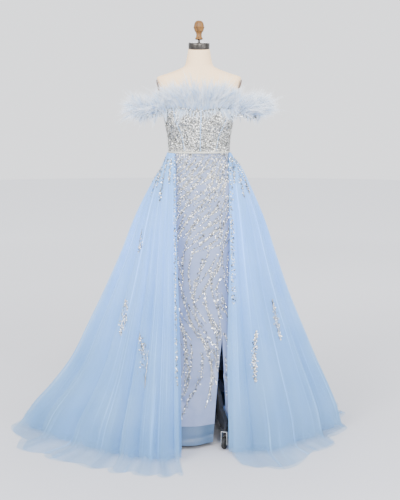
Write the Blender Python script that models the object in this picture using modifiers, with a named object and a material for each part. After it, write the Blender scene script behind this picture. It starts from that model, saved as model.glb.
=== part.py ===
"""Evening gown on a wheeled dress form: beaded off-shoulder bodice with plume trim, slit sheath
skirt and a two-layer gathered overskirt with a train.

The shapes are laid out in the form's own frame: its pole is the Z axis, the floor is z = 0, the
gown's front looks along -Y and its left side, where the slit is, lies towards +X. One empty then
carries everything, so that the middle of the gown's bounding box stands on the world origin.
Angles round the figure are measured from the front and grow towards +X.
"""

import math
import random
from collections import namedtuple

import bmesh
import bpy
from mathutils import Matrix, Vector

# Sizes shared by the pieces, in metres.
SEAM_GAP = 0.0003
LAID_GAP = 0.0009
CURVED_GAP = 0.0013
CLOTH = 0.0015
TULLE = 0.0012
FIT_EASE = 0.0024
WAIST_HEIGHT = 1.2400
WAIST_SPLAY = 0.0009
PIPING_TALL = 0.0085
PIPING_THICK = 0.0024
PIPING_COLUMNS = 40
HIP_HEIGHT = 1.0000
WELD = 0.00001
SMOOTH_ANGLE = math.radians(40)
TURNED_SMOOTH_ANGLE = math.radians(35)

# Horizontal sections of the form, from its cut-off base to the top of its neck. front and back
# are the depths before and behind the section's centre, which lies "lean" behind the pole.
Section = namedtuple("Section", "height half_width front back roundness lean")
FIGURE = (
    Section(0.930, 0.1690, 0.1060, 0.1380, 2.30, 0.000),
    Section(1.000, 0.1720, 0.1050, 0.1440, 2.25, 0.000),
    Section(1.080, 0.1590, 0.1050, 0.1300, 2.20, 0.000),
    Section(1.160, 0.1370, 0.0980, 0.1060, 2.15, 0.000),
    Section(1.240, 0.1235, 0.0900, 0.0860, 2.10, 0.000),
    Section(1.290, 0.1260, 0.0980, 0.0900, 2.10, 0.000),
    Section(1.340, 0.1335, 0.1080, 0.0960, 2.20, 0.000),
    Section(1.390, 0.1435, 0.1120, 0.1000, 2.30, 0.000),
    Section(1.440, 0.1530, 0.1060, 0.1020, 2.40, 0.000),
    Section(1.490, 0.1635, 0.0900, 0.0980, 2.40, 0.002),
    Section(1.530, 0.1725, 0.0700, 0.0820, 2.30, 0.005),
    Section(1.546, 0.1760, 0.0580, 0.0680, 2.20, 0.007),
    Section(1.566, 0.1250, 0.0550, 0.0620, 2.10, 0.008),
    Section(1.582, 0.0820, 0.0530, 0.0560, 2.00, 0.007),
    Section(1.596, 0.0590, 0.0510, 0.0520, 2.00, 0.005),
    Section(1.628, 0.0505, 0.0470, 0.0470, 2.00, 0.000),
    Section(1.662, 0.0445, 0.0445, 0.0445, 2.00, -0.004),
)
WAIST_ROW = next(row for row in FIGURE if row.height == WAIST_HEIGHT)
FIGURE_COLUMNS = 28
FIGURE_STEP = 0.0300
NECK_TILT = math.radians(8)
NECK_TILT_START = 1.600

# The two cups of a general bust, as soft rises on the figure's front.
BUST_ANGLE = math.radians(38)
BUST_ANGLE_SPREAD = math.radians(24)
BUST_HEIGHT = 1.375
BUST_HEIGHT_SPREAD = 0.050
BUST_RISE = 0.020

# Armhole plates of the form, and how they lean with its sides.
PLATE_HEIGHT = 1.494
PLATE_X = 0.1654
PLATE_SET_BACK = 0.004
PLATE_HALF_TALL = 0.046
PLATE_HALF_DEEP = 0.036
PLATE_THICK = 0.004
PLATE_LEAN = math.radians(13)

# The form's cap, rod, knob and pole.
CAP_RADIUS = 0.0440
CAP_THICK = 0.0270
CAP_CHAMFER = 0.0020
ROD_RADIUS = 0.0050
ROD_CLEAR = 0.0010
ROD_TOP = 1.6990
KNOB_PROFILE = (  # radius, height
    (0.0060, 1.7770),
    (0.0140, 1.7740),
    (0.0196, 1.7640),
    (0.0210, 1.7520),
    (0.0238, 1.7490),
    (0.0210, 1.7460),
    (0.0180, 1.7340),
    (0.0116, 1.7270),
    (0.0112, 1.7110),
    (0.0166, 1.7060),
    (0.0150, 1.6995),
)
POLE_RADIUS = 0.0190
POLE_FLANGE_RADIUS = 0.0600
POLE_FLANGE_THICK = 0.0080
POLE_FLARE_TALL = 0.0240
POLE_FOOT = 0.2200

# The cast base: a hub and four arched legs, each with a caster under its end.
LEG_COUNT = 4
LEG_TURN = math.radians(31)
LEG_THICK = 0.0180
LEG_REACH = 0.2220
HUB_RADIUS = 0.0340
HUB_BOTTOM = 0.2000
HUB_TOP = 0.2900
LEG_OUTLINE = (  # distance from the pole, height
    (0.020, 0.215),
    (0.104, 0.222),
    (0.132, 0.200),
    (0.144, 0.150),
    (0.192, 0.082),
    (0.236, 0.082),
    (0.236, 0.108),
    (0.188, 0.160),
    (0.174, 0.210),
    (0.144, 0.250),
    (0.100, 0.266),
    (0.020, 0.264),
)
BOSS_RADIUS = 0.0130
BOSS_BOTTOM = 0.0800
BOSS_TOP = 0.1150
SOCKET_RADIUS = 0.0056
SOCKET_DEPTH = 0.0290

# One caster, in a frame whose Z axis is its stem; the wheel trails along -Y.
STEM_RADIUS = 0.0050
STEM_LENGTH = 0.0280
WHEEL_RADIUS = 0.0270
WHEEL_HALF_WIDTH = 0.0100
WHEEL_TRAIL = 0.0180
WHEEL_HUB = 0.50  # shares of the wheel's radius
WHEEL_WEB = 0.62
WHEEL_RIM = 0.92
WEB_WIDTH = 0.70  # shares of its half width
TREAD_WIDTH = 0.35
AXLE_RADIUS = 0.0030
AXLE_RUN = 0.0003
FORK_TOP = 0.0790
FORK_PLATE = 0.0030
FORK_HALF_WIDTH = 0.0135
FORK_CHEEK = 0.0025
FORK_LENGTH = 0.0360
CASTER_HEADINGS = (  # turn of each caster about its stem, front one first
    math.radians(-20),
    math.radians(150),
    math.radians(200),
    math.radians(75),
)

# Bodice: where its seams run, as angles at the waist and at the neckline.
BodicePanel = namedtuple("BodicePanel", "name low_start low_end high_start high_end columns")
BODICE_PANELS = (
    BodicePanel("bodice_centre_front_right", -27, 2, -36, 2, 4),
    BodicePanel("bodice_centre_front_left", 2, 33, 2, 42, 4),
    BodicePanel("bodice_side_front_right", -90, -27, -90, -36, 6),
    BodicePanel("bodice_side_front_left", 33, 90, 42, 90, 6),
    BodicePanel("bodice_back_left", 90, 178, 90, 178, 8),
    BodicePanel("bodice_back_right", 182, 270, 182, 270, 8),
)
BODICE_ROWS = 8
NECKLINE_FRONT = 1.4280
NECKLINE_BACK = 1.4020
SWEETHEART_DIP = 0.0140
SWEETHEART_SPREAD = math.radians(17)

# Sheath skirt below the hip, and the edges of its slit.
SKIRT = (
    Section(0.840, 0.1775, 0.1100, 0.1500, 2.25, 0.000),
    Section(0.660, 0.1830, 0.1160, 0.1560, 2.30, 0.000),
    Section(0.480, 0.2000, 0.1270, 0.1720, 2.40, 0.000),
    Section(0.340, 0.2230, 0.1430, 0.1930, 2.55, 0.000),
    Section(0.200, 0.2540, 0.1690, 0.2230, 2.70, 0.000),
    Section(0.100, 0.2760, 0.1940, 0.2500, 2.80, 0.000),
    Section(0.018, 0.2920, 0.2150, 0.2720, 2.80, 0.000),
)
Slit = namedtuple("Slit", "height line front_open back_open front_tuck back_tuck")
SLIT = (  # x of its line, how far each edge stands off it, and how far each is drawn back inside
    Slit(1.240, 0.060, 0.000, 0.000, 0.000, 0.000),
    Slit(0.840, 0.088, 0.000, 0.000, 0.000, 0.000),
    Slit(0.490, 0.098, 0.000, 0.000, 0.000, 0.000),
    Slit(0.340, 0.097, 0.011, 0.007, 0.006, 0.000),
    Slit(0.200, 0.094, 0.020, 0.018, 0.012, 0.018),
    Slit(0.100, 0.092, 0.026, 0.026, 0.022, 0.046),
    Slit(0.018, 0.092, 0.032, 0.032, 0.034, 0.070),
)
TUCK_SPREAD = 0.085
SHEATH_HEIGHTS = (
    WAIST_HEIGHT - WAIST_SPLAY,
    1.205,
    1.170,
    1.135,
    1.100,
    1.065,
    1.030,
    0.995,
    0.960,
    0.920,
    0.800,
    0.640,
    SLIT[2].height,
    0.410,
    SLIT[3].height,
    0.270,
    SLIT[4].height,
    0.130,
    0.070,
    SKIRT[-1].height,
)
SheathPanel = namedtuple("SheathPanel", "name start end columns")
SHEATH_PANELS = (  # an angle, or the slit's edge on that side
    SheathPanel("sheath_front", -90, "front_edge", 11),
    SheathPanel("sheath_side_front_left", "back_edge", 90, 5),
    SheathPanel("sheath_back_left", 90, 180, 6),
    SheathPanel("sheath_back_right", 180, 270, 6),
)
SHEATH_WAVES = 8
SHEATH_WAVE_START = math.radians(75)
SHEATH_WAVE_DEPTH = 0.0050
SHEATH_WAVE_HEIGHTS = (0.100, 0.800)  # full below the first, gone above the second

# Overskirt. It starts at the right front edge, runs round the gown's right side, back and left
# side, and ends at the left front edge. "turn" is that way round from the front, in degrees.
# touch is where the cloth meets the floor there, hem where it ends, flare how far it sweeps out
# near the floor, and fold the depth of its folds at the hem.
Station = namedtuple("Station", "turn touch_x touch_y hem_x hem_y flare fold")
STATIONS = (
    Station(49, -0.078, -0.352, -0.060, -0.470, 0.0, 0.012),
    Station(64, -0.160, -0.362, -0.155, -0.484, 0.1, 0.016),
    Station(80, -0.262, -0.340, -0.285, -0.455, 0.3, 0.020),
    Station(95, -0.385, -0.285, -0.430, -0.400, 0.6, 0.022),
    Station(110, -0.520, -0.200, -0.605, -0.312, 0.9, 0.024),
    Station(122, -0.655, -0.090, -0.755, -0.185, 1.0, 0.024),
    Station(134, -0.800, 0.060, -0.838, 0.066, 1.0, 0.018),
    Station(147, -0.715, 0.255, -0.775, 0.295, 0.8, 0.022),
    Station(162, -0.480, 0.385, -0.545, 0.460, 0.5, 0.026),
    Station(180, -0.110, 0.440, -0.120, 0.535, 0.3, 0.026),
    Station(200, 0.245, 0.410, 0.280, 0.510, 0.3, 0.028),
    Station(218, 0.490, 0.345, 0.550, 0.425, 0.3, 0.030),
    Station(234, 0.625, 0.225, 0.675, 0.270, 0.2, 0.034),
    Station(250, 0.620, 0.050, 0.645, 0.070, 0.1, 0.036),
    Station(262, 0.530, -0.085, 0.575, -0.150, 0.0, 0.036),
    Station(272, 0.400, -0.205, 0.450, -0.290, 0.0, 0.032),
    Station(280, 0.268, -0.275, 0.310, -0.420, 0.0, 0.024),
    Station(288, 0.138, -0.280, 0.172, -0.372, 0.0, 0.012),
)
Profile = namedtuple("Profile", "level steep flared")
PROFILE = (  # share of the waist's height, and of the way out from waist to floor
    Profile(1.000, 0.000, 0.000),
    Profile(0.955, 0.098, 0.075),
    Profile(0.870, 0.200, 0.168),
    Profile(0.770, 0.305, 0.255),
    Profile(0.650, 0.402, 0.338),
    Profile(0.520, 0.510, 0.440),
    Profile(0.390, 0.640, 0.550),
    Profile(0.265, 0.770, 0.660),
    Profile(0.165, 0.880, 0.790),
    Profile(0.085, 0.955, 0.915),
    Profile(0.030, 0.985, 0.975),
    Profile(0.000, 1.000, 1.000),
)
OVERSKIRT_TOP = WAIST_HEIGHT - PIPING_TALL / 2 - SEAM_GAP
FOLD_TURN = 11.95
FOLD_GROWTH = 1.15
GATHER_DEPTH = 0.0015
RIDGE_LIFT = 0.0140
HEM_LIFT = 0.0040
INSET_FALL = (0.25, 0.80)
SHEATH_ROOM = 0.0120
WAIST_ROOM = 0.0088
WAIST_FALL = 0.0450
Layer = namedtuple("Layer", "label sewn inset_top inset_low steps_per_fold rows floor_hem")
OUTER = Layer("outer", 0.0, 0.0, 0.0, 4, tuple(range(12)), True)
INNER = Layer("inner", 0.0018, 0.005, 0.040, 2, (0, 2, 3, 4, 6, 8, 10), False)
INNER_HEM_HEIGHT = 0.0040
INNER_HEM_SHARE = 0.80  # of the way from the last row to where the cloth would meet the floor
Gore = namedtuple("Gore", "label first_fold folds")
GORES = (
    Gore("front_right", 0, 3),
    Gore("side_right", 3, 4),
    Gore("back_right", 7, 4),
    Gore("back_left", 11, 3),
    Gore("side_left", 14, 3),
    Gore("front_left", 17, 3),
)

# Off-shoulder bands, between these angles on each side of the bodice.
BAND_START = math.radians(50)
BAND_END = math.radians(128)
BAND_BULGE = 0.0930
BAND_MIDDLE = 1.4060
BAND_SAG = 0.0120
BAND_TALL = 0.0360
BAND_FLARE = 0.0060
BAND_SWELL_POWER = 0.80
BAND_FORWARD = 0.35
BAND_CENTRE_X = 0.10
BAND_COLUMNS = 14
BAND_SEWN = 0.0006

# Plume trim: a narrow backing with locks drawn out of its outer face.
TRIM_THICK = 0.0022
TRIM_TALL = 0.0130
LOCK_STEPS = ((0.45, 0.62), (1.00, 0.00))  # share of the length, share of the root's size
Trim = namedtuple("Trim", "name columns rows length rise fan out spread droop seed")
TRIM_FRONT = Trim("plume_trim_front", 24, 2, 0.104, 0.95, 0.20, 0.50, 0.30, 0.012, 11)
TRIM_BACK = Trim("plume_trim_back", 18, 1, 0.060, 0.80, 0.00, 0.60, 0.25, 0.010, 12)
TRIM_RIGHT = Trim("plume_trim_right_band", 16, 2, 0.062, 0.50, 0.50, 0.85, 0.25, 0.014, 13)
TRIM_LEFT = Trim("plume_trim_left_band", 16, 2, 0.072, 0.45, 0.50, 0.90, 0.25, 0.014, 14)
LOCK_RANDOM_LENGTH = 0.30
LOCK_RANDOM_TURN = 0.10
LOCK_TIP = 0.001  # share of the root's size, before a lock's tip is closed
LOCK_WAVE_X = 90
LOCK_WAVE_Z = 400
TRIM_END_GAP = math.radians(1.2)
BAND_TRIM_ENDS = (0.02, 0.98)  # shares of the band's length

# Back zip: the closed tape, its slider and the slider's pull.
ZIP_HALF_WIDTH = 0.0036
ZIP_THICK = 0.0012
ZIP_BOTTOM = 1.0350
ZIP_ROWS = 8
ZIP_LEAD = 0.10  # how far below the zip the back seam is already parted
SLIDER_TALL = 0.0090
SLIDER_DEEP = 0.0030
SLIDER_HALF_WIDTH = 0.0024
SLIDER_DROP = 0.0260
SLIDER_SINK = 0.0006
LUG_HALF_WIDTH = 0.0008
LUG_TALL = 0.0030
LUG_DEEP = 0.0026
LUG_SINK = 0.0008
PULL_HALF_WIDTH = 0.0022
PULL_LENGTH = 0.0220
PULL_THICK = 0.0010
PULL_FORK = 0.0020
PULL_SINK = 0.0004

# Principled colours: red, green, blue, roughness, metallic.
Finish = namedtuple("Finish", "red green blue rough metal")
FINISHES = {
    "beaded_cloth": Finish(0.62, 0.64, 0.65, 0.35, 0.4),
    "waist_piping": Finish(0.80, 0.79, 0.74, 0.40, 0.1),
    "sheath_cloth": Finish(0.55, 0.60, 0.74, 0.55, 0.0),
    "tulle": Finish(0.52, 0.70, 0.88, 0.80, 0.0),
    "plume": Finish(0.72, 0.80, 0.92, 0.85, 0.0),
    "zip_coil": Finish(0.60, 0.70, 0.84, 0.50, 0.0),
    "zip_metal": Finish(0.75, 0.76, 0.78, 0.30, 1.0),
    "form_linen": Finish(0.85, 0.78, 0.68, 0.80, 0.0),
    "plate_wood": Finish(0.22, 0.15, 0.11, 0.60, 0.0),
    "cap_steel": Finish(0.45, 0.45, 0.45, 0.30, 1.0),
    "knob_wood": Finish(0.66, 0.44, 0.25, 0.45, 0.0),
    "cast_iron": Finish(0.03, 0.03, 0.035, 0.50, 0.3),
    "fork_zinc": Finish(0.62, 0.63, 0.62, 0.35, 1.0),
    "wheel_rubber": Finish(0.03, 0.03, 0.03, 0.60, 0.0),
}


def clear_scene():
    for old in list(bpy.data.objects):
        bpy.data.objects.remove(old, do_unlink=True)


def new_collection(name, hidden=False):
    made = bpy.data.collections.new(name)
    bpy.context.scene.collection.children.link(made)
    made.hide_render = hidden
    return made


def make_material(name):
    finish = FINISHES[name]
    material = bpy.data.materials.get(name) or bpy.data.materials.new(name)
    material.use_nodes = True
    shader = material.node_tree.nodes["Principled BSDF"]
    shader.inputs["Base Color"].default_value = (finish.red, finish.green, finish.blue, 1)
    shader.inputs["Roughness"].default_value = finish.rough
    shader.inputs["Metallic"].default_value = finish.metal
    return material


def add_piece(name, mesh, finish, smooth=True):
    """Links a mesh as one named piece under the gown's empty."""
    if not mesh.materials:
        mesh.materials.append(make_material(finish))
    if smooth:
        mesh.shade_smooth()
        mesh.set_sharp_from_angle(angle=SMOOTH_ANGLE)
    piece = bpy.data.objects.new(name, mesh)
    piece.parent = FRAME
    GOWN.objects.link(piece)
    return piece


def add_cutter(name, mesh):
    cutter = bpy.data.objects.new(name, mesh)
    cutter.hide_render = True
    cutter.display_type = "WIRE"
    cutter.parent = FRAME
    CUTTERS.objects.link(cutter)
    return cutter


def settle(piece):
    """Replaces a piece's mesh by the one its modifiers make."""
    graph = bpy.context.evaluated_depsgraph_get()
    mesh = bpy.data.meshes.new_from_object(piece.evaluated_get(graph))
    piece.modifiers.clear()
    piece.data = mesh
    return piece


def combine(piece, others, operation):
    """Joins other meshes to a piece, or cuts them from it."""
    for index, other in enumerate(others):
        step = piece.modifiers.new(f"{operation.lower()}_{index}", "BOOLEAN")
        step.operation = operation
        step.object = other
        step.solver = "EXACT"
    return settle(piece)


def between(low, high, share):
    return low + (high - low) * share


def smooth_step(low, high, value):
    share = min(1.0, max(0.0, (value - low) / (high - low)))
    return share * share * (3 - 2 * share)


def signed_power(value, power):
    return math.copysign(abs(value) ** power, value)


def knot_slope(before, after):
    """The slope of a curve at a row, level where the values turn, so that it never overshoots."""
    return 0.0 if before * after <= 0 else 2 * before * after / (before + after)


def read_table(table, value):
    """A row of a table at any value of its first column, on a smooth curve through its rows."""
    if table[0][0] > table[-1][0]:
        return read_table(table[::-1], value)
    keys = [row[0] for row in table]
    value = min(keys[-1], max(keys[0], value))
    place = max(0, min(len(keys) - 2, sum(key <= value for key in keys) - 1))
    span = keys[place + 1] - keys[place]
    share = (value - keys[place]) / span
    read = [value]
    for column in range(1, len(table[0])):

        def slope(start, column=column):
            start = min(len(keys) - 2, max(0, start))
            rise = table[start + 1][column] - table[start][column]
            return rise / (keys[start + 1] - keys[start])

        low, high = table[place][column], table[place + 1][column]
        start_slope = knot_slope(slope(place - 1), slope(place)) * span
        end_slope = knot_slope(slope(place), slope(place + 1)) * span
        read.append(
            low * (1 + 2 * share) * (1 - share) ** 2
            + high * share**2 * (3 - 2 * share)
            + start_slope * share * (1 - share) ** 2
            - end_slope * share**2 * (1 - share)
        )
    return type(table[0])(*read)


def section_point(section, angle, outset=0.0):
    """The point of a section at an angle from the front, moved out by outset."""
    power = 2 / section.roundness
    x = (section.half_width + outset) * signed_power(math.sin(angle), power)
    depth = (section.front if math.cos(angle) > 0 else section.back) + outset
    return Vector((x, section.lean - depth * signed_power(math.cos(angle), power), section.height))


def bust_rise(angle, height):
    across = (abs(math.remainder(angle, math.tau)) - BUST_ANGLE) / BUST_ANGLE_SPREAD
    up = (height - BUST_HEIGHT) / BUST_HEIGHT_SPREAD
    return BUST_RISE * math.exp(-across * across - up * up)


def figure_point(angle, height, outset=0.0):
    """The form's surface, moved out by outset, with its cups and its tilted neck."""
    point = section_point(read_table(FIGURE, height), angle, outset + bust_rise(angle, height))
    tilt = smooth_step(NECK_TILT_START, FIGURE[-1].height, height) * math.tan(NECK_TILT)
    point.z += tilt * (point.y - FIGURE[-1].lean)
    return point


def sheath_table():
    """The sheath's sections: the form's own down to the hip, then the skirt's."""
    upper = [row for row in FIGURE if HIP_HEIGHT <= row.height <= WAIST_HEIGHT]
    eased = [
        row._replace(
            half_width=row.half_width + FIT_EASE,
            front=row.front + FIT_EASE,
            back=row.back + FIT_EASE,
        )
        for row in upper
    ]
    return tuple(eased[::-1]) + SKIRT


def make_grid(columns, rows, surface):
    """A grid of faces whose points a surface function places, by column and row."""
    grid = bmesh.new()
    bmesh.ops.create_grid(grid, x_segments=columns, y_segments=rows, size=1)
    for point in grid.verts:
        column = round((point.co.x + 1) / 2 * columns)
        row = round((point.co.y + 1) / 2 * rows)
        point.co = surface(column, row)
    grid.normal_update()
    return grid


def face_outwards(grid, middle):
    """Turns the faces so that they look away from a vertical line."""
    outward = 0.0
    for face in grid.faces:
        away = face.calc_center_median() - middle
        outward += face.normal.dot(Vector((away.x, away.y, 0))) * face.calc_area()
    if outward < 0:
        bmesh.ops.reverse_faces(grid, faces=grid.faces)


def to_mesh(grid, name):
    mesh = bpy.data.meshes.new(name)
    grid.to_mesh(mesh)
    grid.free()
    return mesh


def drawn_in(points, columns, rows):
    """Pulls the first and last column in by half a seam's gap."""
    for row in range(rows + 1):
        for edge, inner in ((0, 1), (columns, columns - 1)):
            step = points[inner, row] - points[edge, row]
            points[edge, row] = points[edge, row] + step.normalized() * SEAM_GAP / 2
    return points


def cloth_wall(name, columns, rows, surface, thick, finish, middle=Vector((0, 0, 0))):
    """A cloth panel: an open surface, which is its inner side, made solid outwards."""
    points = {
        (column, row): surface(column, row)
        for column in range(columns + 1)
        for row in range(rows + 1)
    }
    points = drawn_in(points, columns, rows)
    grid = make_grid(columns, rows, lambda column, row: points[column, row])
    face_outwards(grid, middle)
    piece = add_piece(name, to_mesh(grid, name), finish)
    solid = piece.modifiers.new("thickness", "SOLIDIFY")
    solid.thickness = thick
    solid.offset = 1
    return piece


def turned(name, profile, steps, finish, closed=False):
    """A solid of revolution about Z; the profile runs down its outer side."""
    outline = bmesh.new()
    corners = [outline.verts.new((radius, 0, height)) for radius, height in profile]
    ring = corners + corners[:1] if closed else corners
    for start, end in zip(ring, ring[1:]):
        outline.edges.new((start, end))
    piece = add_piece(name, to_mesh(outline, name), finish, smooth=False)
    screw = piece.modifiers.new("turn", "SCREW")
    screw.axis = "Z"
    screw.steps = steps
    screw.render_steps = steps
    screw.use_merge_vertices = True
    screw.merge_threshold = WELD
    settle(piece)
    piece.data.shade_smooth()
    piece.data.set_sharp_from_angle(angle=TURNED_SMOOTH_ANGLE)
    return piece


def cylinder_mesh(name, radius, length, sides, matrix):
    solid = bmesh.new()
    bmesh.ops.create_cone(
        solid,
        cap_ends=True,
        segments=sides,
        radius1=radius,
        radius2=radius,
        depth=length,
        matrix=matrix,
    )
    return to_mesh(solid, name)


def box_mesh(name, size, centre):
    solid = bmesh.new()
    bmesh.ops.create_cube(solid, size=1)
    bmesh.ops.scale(solid, vec=size, verts=solid.verts)
    bmesh.ops.translate(solid, vec=centre, verts=solid.verts)
    return to_mesh(solid, name)


def build_torso():
    """The form's covered body, closed at its base and at the top of its neck."""
    rows = []
    for lower, upper in zip(FIGURE, FIGURE[1:]):
        steps = max(1, round((upper.height - lower.height) / FIGURE_STEP))
        rows += [between(lower.height, upper.height, step / steps) for step in range(steps)]
    rows.append(FIGURE[-1].height)

    def surface(column, row):
        return figure_point(math.tau * column / FIGURE_COLUMNS, rows[row])

    body = make_grid(FIGURE_COLUMNS, len(rows) - 1, surface)
    face_outwards(body, Vector((0, 0, 0)))
    bmesh.ops.remove_doubles(body, verts=body.verts, dist=WELD)
    open_edges = [edge for edge in body.edges if edge.is_boundary]
    bmesh.ops.holes_fill(body, edges=open_edges, sides=0)
    add_piece("form_torso", to_mesh(body, "form_torso"), "form_linen")


def build_armhole_plates():
    for side, label in ((-1, "right"), (1, "left")):
        lean = Matrix.Rotation(side * (math.pi / 2 + PLATE_LEAN), 4, "Y")
        disc = cylinder_mesh("plate", 1, PLATE_THICK, 20, Matrix.Identity(4))
        disc.transform(Matrix.Diagonal((PLATE_HALF_TALL, PLATE_HALF_DEEP, 1, 1)))
        disc.transform(lean)
        plate = add_piece(f"form_armhole_plate_{label}", disc, "plate_wood")
        reach = PLATE_X + PLATE_THICK / 2 + SEAM_GAP
        plate.location = (side * reach, PLATE_SET_BACK, PLATE_HEIGHT)


def build_form_top():
    """Cap, rod and turned knob above the neck."""
    profile = (
        (CAP_RADIUS - CAP_CHAMFER, CAP_THICK),
        (CAP_RADIUS, CAP_THICK - CAP_CHAMFER),
        (CAP_RADIUS, 0),
    )
    cap = turned("form_cap", capped(profile), 20, "cap_steel")
    neck = FIGURE[-1]
    cap.location = (0, neck.lean, neck.height + SEAM_GAP)
    cap.rotation_euler = (NECK_TILT, 0, 0)
    cap_top = neck.height + CAP_THICK + SEAM_GAP + ROD_CLEAR
    rod = (
        (ROD_RADIUS, ROD_TOP),
        (ROD_RADIUS, cap_top),
    )
    turned("form_rod", capped(rod), 12, "cast_iron").location = (0, neck.lean, 0)
    turned("form_knob", capped(KNOB_PROFILE), 12, "knob_wood").location = (0, neck.lean, 0)


def capped(profile):
    """A turned profile with its first and last point led to the axis."""
    top, bottom = profile[0][1], profile[-1][1]
    return ((0, top), *profile, (0, bottom))


def build_pole():
    top = FIGURE[0].height - SEAM_GAP
    profile = (
        (POLE_FLANGE_RADIUS, top),
        (POLE_FLANGE_RADIUS, top - POLE_FLANGE_THICK),
        (POLE_RADIUS, top - POLE_FLARE_TALL),
        (POLE_RADIUS, POLE_FOOT),
    )
    turned("stand_pole", capped(profile), 16, "cast_iron")


def leg_position(index):
    """The caster stem's place under a leg, and the leg's turn from the front."""
    angle = LEG_TURN + index * math.tau / LEG_COUNT
    return Vector((math.sin(angle) * LEG_REACH, -math.cos(angle) * LEG_REACH, 0)), angle


def leg_mesh(name, angle):
    """An arched leg: its outline, drawn in the plane of the leg, as a flat curve made solid."""
    outline = bpy.data.curves.new(name, "CURVE")
    outline.dimensions = "2D"
    outline.fill_mode = "BOTH"
    outline.extrude = LEG_THICK / 2
    line = outline.splines.new("POLY")
    line.points.add(len(LEG_OUTLINE) - 1)
    for point, (reach, height) in zip(line.points, LEG_OUTLINE):
        point.co = (reach, height, 0, 1)
    line.use_cyclic_u = True
    shape = bpy.data.objects.new(name, outline)
    CUTTERS.objects.link(shape)
    bpy.context.view_layer.update()
    graph = bpy.context.evaluated_depsgraph_get()
    mesh = bpy.data.meshes.new_from_object(shape.evaluated_get(graph))
    bpy.data.objects.remove(shape)
    welded = bmesh.new()
    welded.from_mesh(mesh)
    bmesh.ops.remove_doubles(welded, verts=welded.verts, dist=WELD)
    welded.to_mesh(mesh)
    welded.free()
    upright = Matrix.Rotation(math.pi / 2, 4, "X")
    mesh.transform(Matrix.Rotation(angle - math.pi / 2, 4, "Z") @ upright)
    return mesh


def build_base():
    """Hub and legs as the one casting they are, with a socket under each leg's end."""
    middle = Matrix.Translation((0, 0, (HUB_BOTTOM + HUB_TOP) / 2))
    hub = cylinder_mesh("stand_base", HUB_RADIUS, HUB_TOP - HUB_BOTTOM, 20, middle)
    base = add_piece("stand_base", hub, "cast_iron")
    joined = []
    cut = [
        add_cutter(
            "pole_hole",
            cylinder_mesh(
                "pole_hole",
                POLE_RADIUS + SEAM_GAP,
                HUB_TOP,
                16,
                Matrix.Translation((0, 0, POLE_FOOT - SEAM_GAP + HUB_TOP / 2)),
            ),
        )
    ]
    for index in range(LEG_COUNT):
        foot, angle = leg_position(index)
        joined.append(add_cutter(f"leg_{index}", leg_mesh(f"leg_{index}", angle)))
        tall = BOSS_TOP - BOSS_BOTTOM
        boss_at = Matrix.Translation(foot + Vector((0, 0, BOSS_BOTTOM + tall / 2)))
        boss = cylinder_mesh(f"boss_{index}", BOSS_RADIUS, tall, 14, boss_at)
        joined.append(add_cutter(f"boss_{index}", boss))
        socket_at = Matrix.Translation(foot + Vector((0, 0, BOSS_BOTTOM)))
        socket = cylinder_mesh(f"socket_{index}", SOCKET_RADIUS, 2 * SOCKET_DEPTH, 10, socket_at)
        cut.append(add_cutter(f"socket_{index}", socket))
    combine(base, joined, "UNION")
    combine(base, cut, "DIFFERENCE")


def fork_mesh():
    """A caster's fork in its own frame, with its stem and axle, as one solid."""
    plate_top = FORK_TOP
    plate = box_mesh(
        "fork",
        (2 * FORK_HALF_WIDTH, FORK_LENGTH, FORK_PLATE),
        (0, -WHEEL_TRAIL / 2, plate_top - FORK_PLATE / 2),
    )
    fork = add_cutter("fork", plate)
    cheek_low = WHEEL_RADIUS - 2 * AXLE_RADIUS
    cheek_tall = plate_top - FORK_PLATE / 2 - cheek_low
    others = []
    for side in (-1, 1):
        centre = (
            side * (FORK_HALF_WIDTH - FORK_CHEEK / 2),
            -WHEEL_TRAIL,
            cheek_low + cheek_tall / 2,
        )
        size = (FORK_CHEEK, FORK_LENGTH / 2, cheek_tall)
        others.append(add_cutter(f"cheek_{side}", box_mesh("cheek", size, centre)))
    stem_middle = plate_top + STEM_LENGTH / 2 - FORK_PLATE / 2
    stem_at = Matrix.Translation((0, 0, stem_middle))
    stem = cylinder_mesh("stem", STEM_RADIUS, STEM_LENGTH, 8, stem_at)
    others.append(add_cutter("stem", stem))
    axle_at = Matrix.Translation((0, -WHEEL_TRAIL, WHEEL_RADIUS)) @ Matrix.Rotation(
        math.pi / 2, 4, "Y"
    )
    axle = cylinder_mesh("axle", AXLE_RADIUS, 2 * FORK_HALF_WIDTH - FORK_CHEEK, 8, axle_at)
    others.append(add_cutter("axle", axle))
    return combine(fork, others, "UNION").data


def wheel_profile():
    """Half a wheel's outline about its axle, from its bore out to the tread and back."""
    bore = AXLE_RADIUS + AXLE_RUN
    half = WHEEL_HALF_WIDTH
    upper = (
        (bore, half),
        (WHEEL_RADIUS * WHEEL_HUB, half),
        (WHEEL_RADIUS * WHEEL_WEB, half * WEB_WIDTH),
        (WHEEL_RADIUS * WHEEL_RIM, half * WEB_WIDTH),
        (WHEEL_RADIUS, half * TREAD_WIDTH),
    )
    lower = tuple((radius, -height) for radius, height in reversed(upper))
    return upper + lower


def build_casters():
    """Four swivel casters. Each fork turns on its stem's axis, each wheel on its axle's."""
    fork = fork_mesh()
    pattern = turned("wheel_pattern", wheel_profile(), 14, "wheel_rubber", closed=True)
    wheel = pattern.data
    bpy.data.objects.remove(pattern)
    for index, heading in enumerate(CASTER_HEADINGS):
        foot, _ = leg_position(index)
        holder = add_piece(f"caster_fork_{index + 1}", fork, "fork_zinc")
        holder.location = foot
        holder.rotation_euler = (0, 0, heading)
        roller = add_piece(f"caster_wheel_{index + 1}", wheel, "wheel_rubber", smooth=False)
        roller.parent = holder
        roller.location = (0, -WHEEL_TRAIL, WHEEL_RADIUS)
        roller.rotation_euler = (0, math.pi / 2, 0)


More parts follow.
